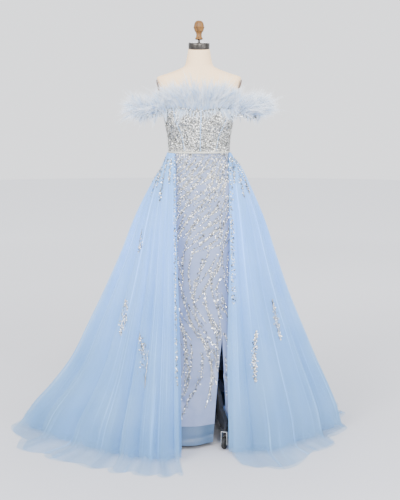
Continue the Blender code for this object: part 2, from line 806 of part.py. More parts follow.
def neckline(angle):
    """Height of the bodice's top edge."""
    turn = math.remainder(angle, math.tau)
    height = between(NECKLINE_FRONT, NECKLINE_BACK, (1 - math.cos(turn)) / 2)
    return height - SWEETHEART_DIP * math.exp(-((turn / SWEETHEART_SPREAD) ** 2))


def build_bodice():
    for panel in BODICE_PANELS:

        def surface(column, row, panel=panel):
            across, up = column / panel.columns, row / BODICE_ROWS
            start = between(panel.low_start, panel.high_start, up)
            end = between(panel.low_end, panel.high_end, up)
            angle = math.radians(between(start, end, across))
            low = WAIST_HEIGHT + WAIST_SPLAY
            return figure_point(angle, between(low, neckline(angle), up), FIT_EASE)

        cloth_wall(panel.name, panel.columns, BODICE_ROWS, surface, CLOTH, "beaded_cloth")


def build_waist_piping():
    """The narrow band over the waist seam, open where the zip runs through."""
    inside = FIT_EASE + CLOTH + CURVED_GAP
    opening = math.degrees((ZIP_HALF_WIDTH + 2 * SEAM_GAP) / WAIST_ROW.back)
    columns = PIPING_COLUMNS

    def surface(column, row):
        angle = math.radians(between(opening - 180, 180 - opening, column / columns))
        height = WAIST_HEIGHT + (row - 0.5) * PIPING_TALL
        return figure_point(angle, height, inside)

    cloth_wall("waist_piping", columns, 1, surface, PIPING_THICK, "waist_piping")


def angle_at(section, x):
    """The angle at which a section's front reaches that x."""
    return math.asin(min(1.0, (x / section.half_width)) ** (section.roundness / 2))


def sheath_bound(bound, section, slit):
    """The angle of a panel's side, which may be one of the slit's edges."""
    edges = {"front_edge": slit.line - slit.front_open, "back_edge": slit.line + slit.back_open}
    return angle_at(section, edges[bound]) if bound in edges else math.radians(bound)


def sheath_point(panel, across, height):
    """A point of the sheath: waved towards the hem, and tucked back beside the slit."""
    section = read_table(SHEATH, height)
    slit = read_table(SLIT, height)
    start = sheath_bound(panel.start, section, slit)
    end = sheath_bound(panel.end, section, slit)
    angle = between(start, end, across)
    low = 1 - smooth_step(*SHEATH_WAVE_HEIGHTS, height)
    outset = SHEATH_WAVE_DEPTH * low * math.cos(angle * SHEATH_WAVES + SHEATH_WAVE_START)
    point = section_point(section, angle, outset)
    if panel.end == "front_edge":
        near = 1 - smooth_step(0, TUCK_SPREAD, slit.line - slit.front_open - point.x)
        point.y += slit.front_tuck * near
    elif panel.start == "back_edge":
        near = 1 - smooth_step(0, TUCK_SPREAD, point.x - slit.line - slit.back_open)
        point.y += slit.back_tuck * near
    return point


def build_sheath():
    zip_angle = (ZIP_HALF_WIDTH + SEAM_GAP) / WAIST_ROW.back
    for panel in SHEATH_PANELS:

        def surface(column, row, panel=panel):
            height = SHEATH_HEIGHTS[row]
            point = sheath_point(panel, column / panel.columns, height)
            at_back = {"sheath_back_left": panel.columns, "sheath_back_right": 0}
            if column == at_back.get(panel.name) and height > ZIP_BOTTOM - ZIP_LEAD:
                side = 1 if panel.name == "sheath_back_left" else -1
                point.x = side * zip_angle * WAIST_ROW.back
            return point

        rows = len(SHEATH_HEIGHTS) - 1
        cloth_wall(panel.name, panel.columns, rows, surface, CLOTH, "sheath_cloth")


def overskirt_point(turn, row, layer):
    """A point of one overskirt layer; row counts PROFILE's rows, and one more is the hem."""
    station = read_table(STATIONS, turn)
    waist = figure_point(-math.radians(turn), OVERSKIRT_TOP, WAIST_ROOM)
    touch = Vector((station.touch_x, station.touch_y, 0))
    phase = (turn - STATIONS[0].turn) / FOLD_TURN * math.tau
    ridge = max(0.0, 2 * math.cos(phase) - 1)
    if row == len(PROFILE):
        point = Vector((station.hem_x, station.hem_y, HEM_LIFT * ridge))
        level = 0.0
    else:
        profile = PROFILE[row]
        level = profile.level
        out = between(profile.steep, profile.flared, station.flare)
        point = waist.lerp(touch, out)
        point.z = OVERSKIRT_TOP * level
        if level == 0:
            point.z = RIDGE_LIFT * ridge
    fall = 1 - level
    depth = GATHER_DEPTH + station.fold * fall**FOLD_GROWTH
    away = Vector((point.x, point.y, 0)).normalized()
    loose = smooth_step(0, WAIST_FALL, fall)
    room = between(WAIST_ROOM - FIT_EASE, SHEATH_ROOM, loose)
    point = clear_of_sheath(point + away * depth * math.cos(phase), room)
    inset = between(layer.sewn, layer.inset_top, loose)
    inset += layer.inset_low * smooth_step(*INSET_FALL, fall)
    return point - away * inset


def clear_of_sheath(point, room):
    """Moves a point out from the pole where it comes nearer than that to the sheath."""
    section = read_table(SHEATH, point.z)
    power = section.roundness
    depth = section.front if point.y < section.lean else section.back
    across = abs(point.x / section.half_width) ** power
    along = abs((point.y - section.lean) / depth) ** power
    gauge = (across + along) ** (1 / power)
    level = Vector((point.x, point.y, 0))
    wanted = level.length / gauge + room
    if level.length < wanted:
        point = point + level.normalized() * (wanted - level.length)
    return point


def build_overskirt(layer):
    for gore in GORES:
        columns = gore.folds * layer.steps_per_fold
        rows = len(layer.rows) - 1 + layer.floor_hem

        def surface(column, row, gore=gore):
            fold = gore.first_fold + column / layer.steps_per_fold
            turn = STATIONS[0].turn + fold * FOLD_TURN
            chosen = layer.rows[row] if row < len(layer.rows) else len(PROFILE)
            point = overskirt_point(turn, chosen, layer)
            if not layer.floor_hem and row == rows:
                floor_point = overskirt_point(turn, len(PROFILE) - 1, layer)
                point = point.lerp(floor_point, INNER_HEM_SHARE)
                point.z = max(point.z, INNER_HEM_HEIGHT)
            return point

        name = f"overskirt_{layer.label}_{gore.label}"
        cloth_wall(name, columns, rows, surface, TULLE, "tulle")


def band_point(side, share, up, outset=0.0):
    """A point of an off-shoulder band: share runs from its front end to its back end."""
    angle = side * between(BAND_START, BAND_END, share)
    swell = math.sin(math.pi * share)
    height = BAND_MIDDLE - BAND_SAG * swell + (up - 0.5) * BAND_TALL
    clear = FIT_EASE + CLOTH + BAND_SEWN + outset
    point = figure_point(angle, height, clear)
    away = Vector((math.sin(angle), -BAND_FORWARD * math.cos(angle), 0)).normalized()
    return point + away * (BAND_BULGE * swell**BAND_SWELL_POWER + BAND_FLARE * up * swell)


def build_bands():
    for side, label in ((-1, "right"), (1, "left")):

        def surface(column, row, side=side):
            return band_point(side, column / BAND_COLUMNS, row)

        middle = Vector((side * BAND_CENTRE_X, 0, 0))
        name = f"shoulder_band_{label}"
        cloth_wall(name, BAND_COLUMNS, 1, surface, CLOTH, "beaded_cloth", middle)


def draw_locks(grid, faces, trim, middle):
    """Draws each outer face of a trim's backing out into one tapering lock."""
    chance = random.Random(trim.seed)
    middle_height = sum(face.calc_center_median().z for face in faces) / len(faces)
    for face in faces:
        root = face.calc_center_median()
        rise = trim.rise + math.copysign(trim.fan, root.z - middle_height)
        away = Vector((root.x - middle.x, root.y - middle.y, 0)).normalized()
        along = Vector((-away.y, away.x, 0))
        length = trim.length * (1 + LOCK_RANDOM_LENGTH * (chance.random() - 0.5) * 2)
        lean = trim.spread / 2 * math.sin(root.x * LOCK_WAVE_X + root.z * LOCK_WAVE_Z)
        lean += LOCK_RANDOM_TURN * (chance.random() - 0.5) * 2
        direction = (away * trim.out + Vector((0, 0, rise)) + along * lean).normalized()
        corners = [vertex.co - root for vertex in face.verts]
        tip = face
        for share, size in LOCK_STEPS:
            tip = bmesh.ops.extrude_discrete_faces(grid, faces=[tip])["faces"][0]
            centre = root + direction * length * share
            centre.z -= trim.droop * share * share
            for vertex, corner in zip(tip.verts, corners):
                vertex.co = centre + corner * max(size, LOCK_TIP)
        bmesh.ops.pointmerge(grid, verts=list(tip.verts), merge_co=centre)


def build_trim(trim, surface, middle):
    grid = make_grid(trim.columns, trim.rows, surface)
    face_outwards(grid, middle)
    inner = list(grid.faces)
    made = bmesh.ops.extrude_face_region(grid, geom=inner, use_keep_orig=True)["geom"]
    outer = [item for item in made if isinstance(item, bmesh.types.BMFace)]
    moved = {vertex for face in outer for vertex in face.verts}
    for vertex in moved:
        away = Vector((vertex.co.x - middle.x, vertex.co.y - middle.y, 0)).normalized()
        vertex.co += away * TRIM_THICK
    bmesh.ops.reverse_faces(grid, faces=inner)
    grid.normal_update()
    draw_locks(grid, outer, trim, middle)
    bmesh.ops.recalc_face_normals(grid, faces=grid.faces)
    add_piece(trim.name, to_mesh(grid, trim.name), "plume", smooth=False)


def build_trims():
    """Plume trim along the neckline's front and back, and along both bands."""
    outside = FIT_EASE + CLOTH + LAID_GAP
    front_end = BAND_START - TRIM_END_GAP
    back_start = BAND_END + TRIM_END_GAP
    for trim, start, end in (
        (TRIM_FRONT, -front_end, front_end),
        (TRIM_BACK, back_start, math.tau - back_start),
    ):

        def on_bodice(column, row, trim=trim, start=start, end=end):
            angle = between(start, end, column / trim.columns)
            height = neckline(angle) - TRIM_TALL * (1 - row / trim.rows)
            return figure_point(angle, height, outside)

        build_trim(trim, on_bodice, Vector((0, 0, 0)))
    for trim, side in ((TRIM_RIGHT, -1), (TRIM_LEFT, 1)):

        def on_band(column, row, trim=trim, side=side):
            share = between(*BAND_TRIM_ENDS, column / trim.columns)
            up = 0.5 + (row / trim.rows - 0.5) * TRIM_TALL / BAND_TALL
            return band_point(side, share, up, CLOTH + CURVED_GAP)

        build_trim(trim, on_band, Vector((side * BAND_CENTRE_X, 0, 0)))


def back_depth(height, outset=0.0):
    """How far behind the pole the figure's back lies at a height."""
    section = read_table(FIGURE, height)
    return section.lean + section.back + outset


def build_zip():
    """The closed zip between the back panels, with its slider at the top."""
    top = neckline(math.pi) - TRIM_TALL - 2 * SEAM_GAP
    columns = 2

    def surface(column, row):
        height = between(ZIP_BOTTOM, top, row / ZIP_ROWS)
        x = between(-ZIP_HALF_WIDTH, ZIP_HALF_WIDTH, column / columns)
        return Vector((x, back_depth(height, FIT_EASE), height))

    tape = cloth_wall("back_zip", columns, ZIP_ROWS, surface, ZIP_THICK, "zip_coil")
    settle(tape)
    middle = top - SLIDER_DROP
    back = back_depth(middle, FIT_EASE + ZIP_THICK)
    slider = box_mesh(
        "slider",
        (2 * SLIDER_HALF_WIDTH, SLIDER_DEEP, SLIDER_TALL),
        (0, back + SLIDER_DEEP / 2 - SLIDER_SINK, middle),
    )
    lug = box_mesh(
        "lug",
        (2 * LUG_HALF_WIDTH, LUG_DEEP, LUG_TALL),
        (0, back + SLIDER_DEEP - LUG_SINK + LUG_DEEP / 2, middle),
    )
    combine(tape, [add_cutter("slider", slider), add_cutter("lug", lug)], "UNION")
    build_pull(back + SLIDER_DEEP + LUG_DEEP / 2 - PULL_SINK, middle)


def build_pull(back, height):
    """The slider's pull, hanging; its origin is on the lug, where it turns."""
    plate = box_mesh(
        "back_zip_pull",
        (2 * PULL_HALF_WIDTH, PULL_THICK, PULL_LENGTH),
        (0, 0, PULL_FORK / 2 - PULL_LENGTH / 2),
    )
    slot = box_mesh(
        "pull_slot",
        (2 * (LUG_HALF_WIDTH + SEAM_GAP), 4 * PULL_THICK, 2 * PULL_FORK + LUG_TALL),
        (0, 0, 0),
    )
    pull = add_piece("back_zip_pull", plate, "zip_metal", smooth=False)
    combine(pull, [add_cutter("pull_slot", slot)], "DIFFERENCE")
    pull.location = (0, back, height)


def build_gown():
    build_bodice()
    build_waist_piping()
    build_sheath()
    build_overskirt(OUTER)
    build_overskirt(INNER)
    build_bands()
    build_trims()
    build_zip()


def build_form():
    build_torso()
    build_armhole_plates()
    build_form_top()
    build_pole()
    build_base()
    build_casters()


def centre_on_origin():
    """Moves the empty so that the middle of everything's footprint is over the world origin."""
    bpy.context.view_layer.update()
    graph = bpy.context.evaluated_depsgraph_get()
    corners = []
    for piece in GOWN.objects:
        if piece.type == "MESH":
            shape = piece.evaluated_get(graph)
            corners += [piece.matrix_world @ point.co for point in shape.data.vertices]
    for axis in (0, 1):
        reach = [corner[axis] for corner in corners]
        FRAME.location[axis] = -(min(reach) + max(reach)) / 2


SHEATH = sheath_table()
clear_scene()
GOWN = new_collection("gown_on_dress_form")
CUTTERS = new_collection("cutters", hidden=True)
FRAME = bpy.data.objects.new("gown_frame", None)
GOWN.objects.link(FRAME)
build_form()
build_gown()
centre_on_origin()
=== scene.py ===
import math
from collections import namedtuple

import bmesh
import bpy
import numpy as np
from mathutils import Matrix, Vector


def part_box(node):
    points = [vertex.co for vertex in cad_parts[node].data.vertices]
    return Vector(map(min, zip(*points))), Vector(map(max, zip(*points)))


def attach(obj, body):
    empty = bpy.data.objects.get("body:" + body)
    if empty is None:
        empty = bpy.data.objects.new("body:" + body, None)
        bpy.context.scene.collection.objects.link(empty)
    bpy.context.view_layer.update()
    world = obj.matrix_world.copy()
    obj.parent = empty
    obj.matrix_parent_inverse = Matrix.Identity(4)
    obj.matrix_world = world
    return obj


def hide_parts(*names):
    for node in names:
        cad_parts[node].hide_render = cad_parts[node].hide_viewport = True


# The gown's own frame has the stand's pole as its Z axis and the floor at z = 0. Its front looks
# along -Y, and angles round the figure are measured from the front and grow towards +X.
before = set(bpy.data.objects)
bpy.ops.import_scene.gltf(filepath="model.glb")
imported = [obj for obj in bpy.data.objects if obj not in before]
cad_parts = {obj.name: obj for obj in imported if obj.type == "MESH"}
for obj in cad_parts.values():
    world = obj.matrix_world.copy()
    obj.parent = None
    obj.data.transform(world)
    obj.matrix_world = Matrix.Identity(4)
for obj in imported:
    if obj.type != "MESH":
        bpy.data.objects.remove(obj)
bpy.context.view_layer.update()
BODY = "gown_and_form"


def pole_axis():
    low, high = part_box("stand_pole")
    return np.array([(low[0] + high[0]) / 2, (low[1] + high[1]) / 2, 0.0])


ORIGIN = pole_axis()

# Sizes shared by the pieces, in metres, as the solids have them.
CLOTH = 0.0015
FIT_EASE = 0.0024
LAID_GAP = 0.0009
CURVED_GAP = 0.0013
SEAM_GAP = 0.0003
WAIST_HEIGHT = 1.2400
WAIST_SPLAY = 0.0009
BAND_HEIGHT = 0.0085
BAND_THICK = 0.0024
HIP_HEIGHT = 1.0000

# height, half_width, front, back, roundness, lean of the form's sections.
FIGURE = (
    (0.930, 0.1690, 0.1060, 0.1380, 2.30, 0.000),
    (1.000, 0.1720, 0.1050, 0.1440, 2.25, 0.000),
    (1.080, 0.1590, 0.1050, 0.1300, 2.20, 0.000),
    (1.160, 0.1370, 0.0980, 0.1060, 2.15, 0.000),
    (1.240, 0.1235, 0.0900, 0.0860, 2.10, 0.000),
    (1.290, 0.1260, 0.0980, 0.0900, 2.10, 0.000),
    (1.340, 0.1335, 0.1080, 0.0960, 2.20, 0.000),
    (1.390, 0.1435, 0.1120, 0.1000, 2.30, 0.000),
    (1.440, 0.1530, 0.1060, 0.1020, 2.40, 0.000),
    (1.490, 0.1635, 0.0900, 0.0980, 2.40, 0.002),
    (1.530, 0.1725, 0.0700, 0.0820, 2.30, 0.005),
    (1.546, 0.1760, 0.0580, 0.0680, 2.20, 0.007),
    (1.566, 0.1250, 0.0550, 0.0620, 2.10, 0.008),
    (1.582, 0.0820, 0.0530, 0.0560, 2.00, 0.007),
    (1.596, 0.0590, 0.0510, 0.0520, 2.00, 0.005),
    (1.628, 0.0505, 0.0470, 0.0470, 2.00, 0.000),
    (1.662, 0.0445, 0.0445, 0.0445, 2.00, -0.004),
)
NECK_LEAN = FIGURE[-1][5]
NECK_TOP = FIGURE[-1][0]
NECK_TILT = math.radians(8)
NECK_TILT_START = 1.600
BUST_ANGLE = math.radians(38)
BUST_ANGLE_SPREAD = math.radians(24)
BUST_HEIGHT = 1.375
BUST_HEIGHT_SPREAD = 0.050
BUST_RISE = 0.020

PLATE_PLACE = (0.1677, 0.004, 1.494)
PLATE_HALF_TALL = 0.046
PLATE_HALF_DEEP = 0.036
PLATE_THICK = 0.004
PLATE_LEAN = math.radians(13)
CAP_RADIUS = 0.0440
CAP_THICK = 0.0270
KNOB_PROFILE = (  # radius, height
    (0.0000, 1.7770),
    (0.0060, 1.7768),
    (0.0140, 1.7740),
    (0.0196, 1.7640),
    (0.0210, 1.7520),
    (0.0238, 1.7490),
    (0.0210, 1.7460),
    (0.0180, 1.7340),
    (0.0116, 1.7270),
    (0.0112, 1.7110),
    (0.0166, 1.7060),
    (0.0150, 1.6995),
    (0.0000, 1.6995),
)

NECKLINE_FRONT = 1.4280
NECKLINE_BACK = 1.4020
SWEETHEART_DIP = 0.0140
SWEETHEART_SPREAD = math.radians(17)
BodicePanel = namedtuple("BodicePanel", "label low_start low_end high_start high_end")
BODICE_PANELS = (
    BodicePanel("centre_front_right", -27, 2, -36, 2),
    BodicePanel("centre_front_left", 2, 33, 2, 42),
    BodicePanel("side_front_right", -90, -27, -90, -36),
    BodicePanel("side_front_left", 33, 90, 42, 90),
    BodicePanel("back_left", 90, 178, 90, 178),
    BodicePanel("back_right", 182, 270, 182, 270),
)

SKIRT = (  # the sheath's sections below the hip, with the same columns
    (0.840, 0.1775, 0.1100, 0.1500, 2.25, 0.000),
    (0.660, 0.1830, 0.1160, 0.1560, 2.30, 0.000),
    (0.480, 0.2000, 0.1270, 0.1720, 2.40, 0.000),
    (0.340, 0.2230, 0.1430, 0.1930, 2.55, 0.000),
    (0.200, 0.2540, 0.1690, 0.2230, 2.70, 0.000),
    (0.100, 0.2760, 0.1940, 0.2500, 2.80, 0.000),
    (0.018, 0.2920, 0.2150, 0.2720, 2.80, 0.000),
)
SHEATH_HEM = SKIRT[-1][0]
SLIT = (  # height, line, front_open, back_open, front_tuck, back_tuck
    (1.240, 0.060, 0.000, 0.000, 0.000, 0.000),
    (0.840, 0.088, 0.000, 0.000, 0.000, 0.000),
    (0.490, 0.098, 0.000, 0.000, 0.000, 0.000),
    (0.340, 0.097, 0.011, 0.007, 0.006, 0.000),
    (0.200, 0.094, 0.020, 0.018, 0.012, 0.018),
    (0.100, 0.092, 0.026, 0.026, 0.022, 0.046),
    (0.018, 0.092, 0.032, 0.032, 0.034, 0.070),
)
TUCK_SPREAD = 0.085
SHEATH_WAVES = 8
SHEATH_WAVE_START = math.radians(75)
SHEATH_WAVE_DEPTH = 0.0050
NET_HEM = 0.0950  # the beaded net ends here, over the plain hem band

# turn, touch_x, touch_y, hem_x, hem_y, flare, fold: the overskirt round the figure.
STATIONS = (
    (49, -0.078, -0.352, -0.060, -0.470, 0.0, 0.012),
    (64, -0.160, -0.362, -0.155, -0.484, 0.1, 0.016),
    (80, -0.262, -0.340, -0.285, -0.455, 0.3, 0.020),
    (95, -0.385, -0.285, -0.430, -0.400, 0.6, 0.022),
    (110, -0.520, -0.200, -0.605, -0.312, 0.9, 0.024),
    (122, -0.655, -0.090, -0.755, -0.185, 1.0, 0.024),
    (134, -0.800, 0.060, -0.838, 0.066, 1.0, 0.018),
    (147, -0.715, 0.255, -0.775, 0.295, 0.8, 0.022),
    (162, -0.480, 0.385, -0.545, 0.460, 0.5, 0.026),
    (180, -0.110, 0.440, -0.120, 0.535, 0.3, 0.026),
    (200, 0.245, 0.410, 0.280, 0.510, 0.3, 0.028),
    (218, 0.490, 0.345, 0.550, 0.425, 0.3, 0.030),
    (234, 0.625, 0.225, 0.675, 0.270, 0.2, 0.034),
    (250, 0.620, 0.050, 0.645, 0.070, 0.1, 0.036),
    (262, 0.530, -0.085, 0.575, -0.150, 0.0, 0.036),
    (272, 0.400, -0.205, 0.450, -0.290, 0.0, 0.032),
    (280, 0.268, -0.275, 0.310, -0.420, 0.0, 0.024),
    (288, 0.138, -0.280, 0.172, -0.372, 0.0, 0.012),
)
FIRST_TURN = STATIONS[0][0]
LAST_TURN = STATIONS[-1][0]
OUTER_LIFT = 0.0008  # heights at which the laid tulle starts
INNER_LIFT = 0.0004
LINING_HEM = 0.0060
PROFILE = (  # level, and the share of the way out for a steep and for a flared stretch
    (1.000, 0.000, 0.000),
    (0.955, 0.098, 0.075),
    (0.870, 0.200, 0.168),
    (0.770, 0.305, 0.255),
    (0.650, 0.402, 0.338),
    (0.520, 0.510, 0.440),
    (0.390, 0.640, 0.550),
    (0.265, 0.770, 0.660),
    (0.165, 0.880, 0.790),
    (0.085, 0.955, 0.915),
    (0.030, 0.985, 0.975),
    (0.000, 1.000, 1.000),
)
OVERSKIRT_TOP = WAIST_HEIGHT - BAND_HEIGHT / 2 - SEAM_GAP
FOLD_TURN = 11.95
GATHER_DEPTH = 0.0015
RIDGE_LIFT = 0.0140
HEM_LIFT = 0.0040
INSET_FALL = (0.25, 0.80)
SHEATH_ROOM = 0.0120
WAIST_ROOM = 0.0088
WAIST_FALL = 0.0450
Layer = namedtuple("Layer", "label sewn inset_top inset_low shift on_floor per_fold rows")
OUTER = Layer("outer", -0.0006, -0.0006, -0.0006, 0.0, True, 14, 84)
LINING = Layer("second", 0.0006, 0.0022, 0.0120, 0.9, True, 10, 64)
INNER = Layer("inner", 0.0018, 0.0050, 0.0400, 0.4, False, 8, 56)
Gore = namedtuple("Gore", "label first_fold folds width length area")
GORES = (
    Gore("front_right", 0, 3, 0.38, 1.42, 0.28),
    Gore("side_right", 3, 4, 0.68, 1.62, 0.58),
    Gore("back_right", 7, 4, 0.92, 1.52, 0.78),
    Gore("back_left", 11, 3, 0.70, 1.46, 0.58),
    Gore("side_left", 14, 3, 0.58, 1.45, 0.46),
    Gore("front_left", 17, 3, 0.68, 1.45, 0.57),
)

BAND_START = math.radians(50)
BAND_END = math.radians(128)
BAND_BULGE = 0.0930
BAND_MIDDLE = 1.4060
BAND_SAG = 0.0120
BAND_TALL = 0.0360
BAND_FLARE = 0.0060
BAND_SEWN = 0.0006
BAND_FORWARD = 0.35  # how far forward and back a band stands off, as a share of sideways
TRIM_TALL = 0.0130

ZIP_HALF_WIDTH = 0.0036
ZIP_THICK = 0.0012
ZIP_BOTTOM = 1.0350
SLIDER_DROP = 0.0260
FLOOR_RADIUS = 14.0
FLOOR_DROP = 0.0006


# Numbers on tables and sections.


def lerp(low, high, share):
    return low + (high - low) * share


def smooth_step(low, high, value):
    share = np.clip((value - low) / (high - low), 0.0, 1.0)
    return share * share * (3 - 2 * share)


def signed_power(value, power):
    return np.sign(value) * np.abs(value) ** power


def unit(vectors):
    return vectors / np.maximum(np.linalg.norm(vectors, axis=-1, keepdims=True), 1e-9)


def read_rows(table, values):
    """The table's columns at any value of its first one, on a smooth curve through its rows."""
    rows = np.array(sorted(table), dtype=float)
    keys, cells = rows[:, 0], rows[:, 1:]
    secant = np.diff(cells, axis=0) / np.diff(keys)[:, None]
    padded = np.vstack([secant[:1], secant, secant[-1:]])
    before, after = padded[:-1], padded[1:]
    product = before * after
    level = np.where(product > 0, before + after, 1.0)
    slope = np.where(product > 0, 2 * product / level, 0.0)
    values = np.clip(values, keys[0], keys[-1])
    place = np.clip(np.searchsorted(keys, values, side="right") - 1, 0, len(keys) - 2)
    span = (keys[place + 1] - keys[place])[..., None]
    share = (values - keys[place])[..., None] / span
    read = (
        cells[place] * (1 + 2 * share) * (1 - share) ** 2
        + cells[place + 1] * share**2 * (3 - 2 * share)
        + slope[place] * span * share * (1 - share) ** 2
        - slope[place + 1] * span * share**2 * (1 - share)
    )
    return np.moveaxis(read, -1, 0)


def eased(row):
    height, half_width, front, back, roundness, lean = row
    return height, half_width + FIT_EASE, front + FIT_EASE, back + FIT_EASE, roundness, lean


SHEATH = tuple(eased(row) for row in FIGURE if HIP_HEIGHT <= row[0] <= WAIST_HEIGHT) + SKIRT


def section_points(section, angle, height, outset):
    half_width, front, back, roundness, lean = section
    power = 2 / roundness
    x = (half_width + outset) * signed_power(np.sin(angle), power)
    depth = np.where(np.cos(angle) > 0, front, back) + outset
    y = lean - depth * signed_power(np.cos(angle), power)
    return np.stack(np.broadcast_arrays(x, y, height), axis=-1)


def figure_points(angle, height, outset=0.0):
    """The form's surface, moved out by outset, with its cups and its tilted neck."""
    angle, height = np.broadcast_arrays(angle, height)
    wrapped = np.abs((angle + math.pi) % math.tau - math.pi)
    across = (wrapped - BUST_ANGLE) / BUST_ANGLE_SPREAD
    up = (height - BUST_HEIGHT) / BUST_HEIGHT_SPREAD
    rise = BUST_RISE * np.exp(-across * across - up * up)
    points = section_points(read_rows(FIGURE, height), angle, height, outset + rise)
    tilt = smooth_step(NECK_TILT_START, NECK_TOP, height) * math.tan(NECK_TILT)
    points[..., 2] += tilt * (points[..., 1] - NECK_LEAN)
    return points


def neckline(angle):
    turn = (np.asarray(angle) + math.pi) % math.tau - math.pi
    height = lerp(NECKLINE_FRONT, NECKLINE_BACK, (1 - np.cos(turn)) / 2)
    return height - SWEETHEART_DIP * np.exp(-((turn / SWEETHEART_SPREAD) ** 2))


def seam_angles(height):
    """Where the bodice's seams cross a height, as angles."""
    up = (height - WAIST_HEIGHT) / (NECKLINE_FRONT - WAIST_HEIGHT)
    return [math.radians(lerp(p.low_start, p.high_start, up)) for p in BODICE_PANELS]


def slit_edge(height, side):
    """x of one of the slit's edges at a height."""
    line, front_open, back_open, _, _ = read_rows(SLIT, height)
    return line - front_open if side == "front" else line + back_open


def sheath_angle(x, height):
    """The angle at which the front of the sheath reaches that x."""
    half_width, _, _, roundness, _ = read_rows(SHEATH, height)
    return np.arcsin(np.clip(x / half_width, 0, 1) ** (roundness / 2))


Crease = namedtuple("Crease", "angle height lean length width depth")
SHEATH_CREASES = (  # soft troughs of the skirt, in degrees and metres
    Crease(-28, 0.235, 24, 0.120, 0.013, 0.0050),
    Crease(-12, 0.205, 34, 0.085, 0.011, 0.0040),
    Crease(-4, 0.250, -30, 0.110, 0.012, 0.0045),
    Crease(12, 0.330, -20, 0.150, 0.014, 0.0040),
    Crease(-40, 0.420, 12, 0.190, 0.016, 0.0035),
    Crease(-20, 0.560, -16, 0.160, 0.018, 0.0028),
    Crease(14, 0.640, 14, 0.170, 0.018, 0.0026),
    Crease(-55, 0.300, 10, 0.200, 0.016, 0.0045),
    Crease(62, 0.420, 8, 0.230, 0.016, 0.0045),
    Crease(70, 0.230, -18, 0.140, 0.014, 0.0050),
    Crease(118, 0.430, 8, 0.260, 0.018, 0.0050),
    Crease(150, 0.300, -12, 0.200, 0.016, 0.0055),
    Crease(178, 0.520, 6, 0.240, 0.018, 0.0045),
    Crease(205, 0.360, 14, 0.230, 0.017, 0.0055),
    Crease(238, 0.470, -8, 0.250, 0.018, 0.0050),
    Crease(255, 0.240, 16, 0.160, 0.014, 0.0050),
    Crease(-24, 0.066, 78, 0.100, 0.008, 0.0022),
    Crease(6, 0.052, -76, 0.110, 0.008, 0.0024),
    Crease(20, 0.300, 38, 0.120, 0.012, 0.0036),
    Crease(26, 0.190, -32, 0.120, 0.012, 0.0040),
)
CREASE_REACH = 0.20  # metres of cloth for a radian of angle
CREASE_TIGHT = 0.80  # of the listed width, and how much deeper than listed
CREASE_DEEP = 1.7
WAVE_FALL = (0.1, 0.8)  # heights between which the hem's waves fade out


def creased(angle, height):
    """How far the skirt's creases press its surface in."""
    total = np.zeros(np.broadcast(angle, height).shape)
    for crease in SHEATH_CREASES:
        lean = math.radians(crease.lean)
        turn = (angle - math.radians(crease.angle) + math.pi) % math.tau - math.pi
        x, z = turn * CREASE_REACH, height - crease.height
        along = (z * math.cos(lean) - x * math.sin(lean)) / crease.length
        across = (x * math.cos(lean) + z * math.sin(lean)) / (crease.width * CREASE_TIGHT)
        total += crease.depth * np.exp(-across * across - along * along * 4)
    return total


def sheath_points(angle, height, part, lift=0.0):
    """The sheath at an angle and height. part is front, side or back, as the slit divides it."""
    angle, height = np.broadcast_arrays(angle, height)
    section = read_rows(SHEATH, height)
    low = 1 - smooth_step(*WAVE_FALL, height)
    wave = SHEATH_WAVE_DEPTH * low * np.cos(angle * SHEATH_WAVES + SHEATH_WAVE_START)
    points = section_points(section, angle, height, lift + wave - creased(angle, height) * CREASE_DEEP)
    line, front_open, back_open, front_tuck, back_tuck = read_rows(SLIT, height)
    if part == "front":
        near = 1 - smooth_step(0, TUCK_SPREAD, line - front_open - points[..., 0])
        points[..., 1] += front_tuck * near
    elif part == "side":
        near = 1 - smooth_step(0, TUCK_SPREAD, points[..., 0] - line - back_open)
        points[..., 1] += back_tuck * near
    return points


def clear_of_sheath(points, room):
    """Moves points out from the pole where they come nearer than that to the sheath."""
    half_width, front, back, roundness, lean = read_rows(SHEATH, points[..., 2])
    depth = np.where(points[..., 1] < lean, front, back)
    across = np.abs(points[..., 0] / half_width) ** roundness
    along = np.abs((points[..., 1] - lean) / depth) ** roundness
    gauge = (across + along) ** (1 / roundness)
    flat = points.copy()
    flat[..., 2] = 0
    length = np.linalg.norm(flat, axis=-1)
    short = np.maximum(0.0, length / gauge + room - length)
    return points + unit(flat) * short[..., None]


# Slow waves over the count of folds, each an amount, a pace and a start.
FOLD_SPACING = ((0.35, 1.7, 0.6), (0.22, 3.1, 2.0))
FOLD_DEPTHS = ((0.34, 2.3, 0.4), (0.20, 0.9, 1.0))
FOLD_DEPTH = 0.78
SECOND_FOLD = 0.22
THIRD_FOLD = 0.12
FINE_GATHER = 0.0016


def slow_waves(waves, count, start=0):
    return sum((amount * np.sin(count * pace + first) for amount, pace, first in waves), start)


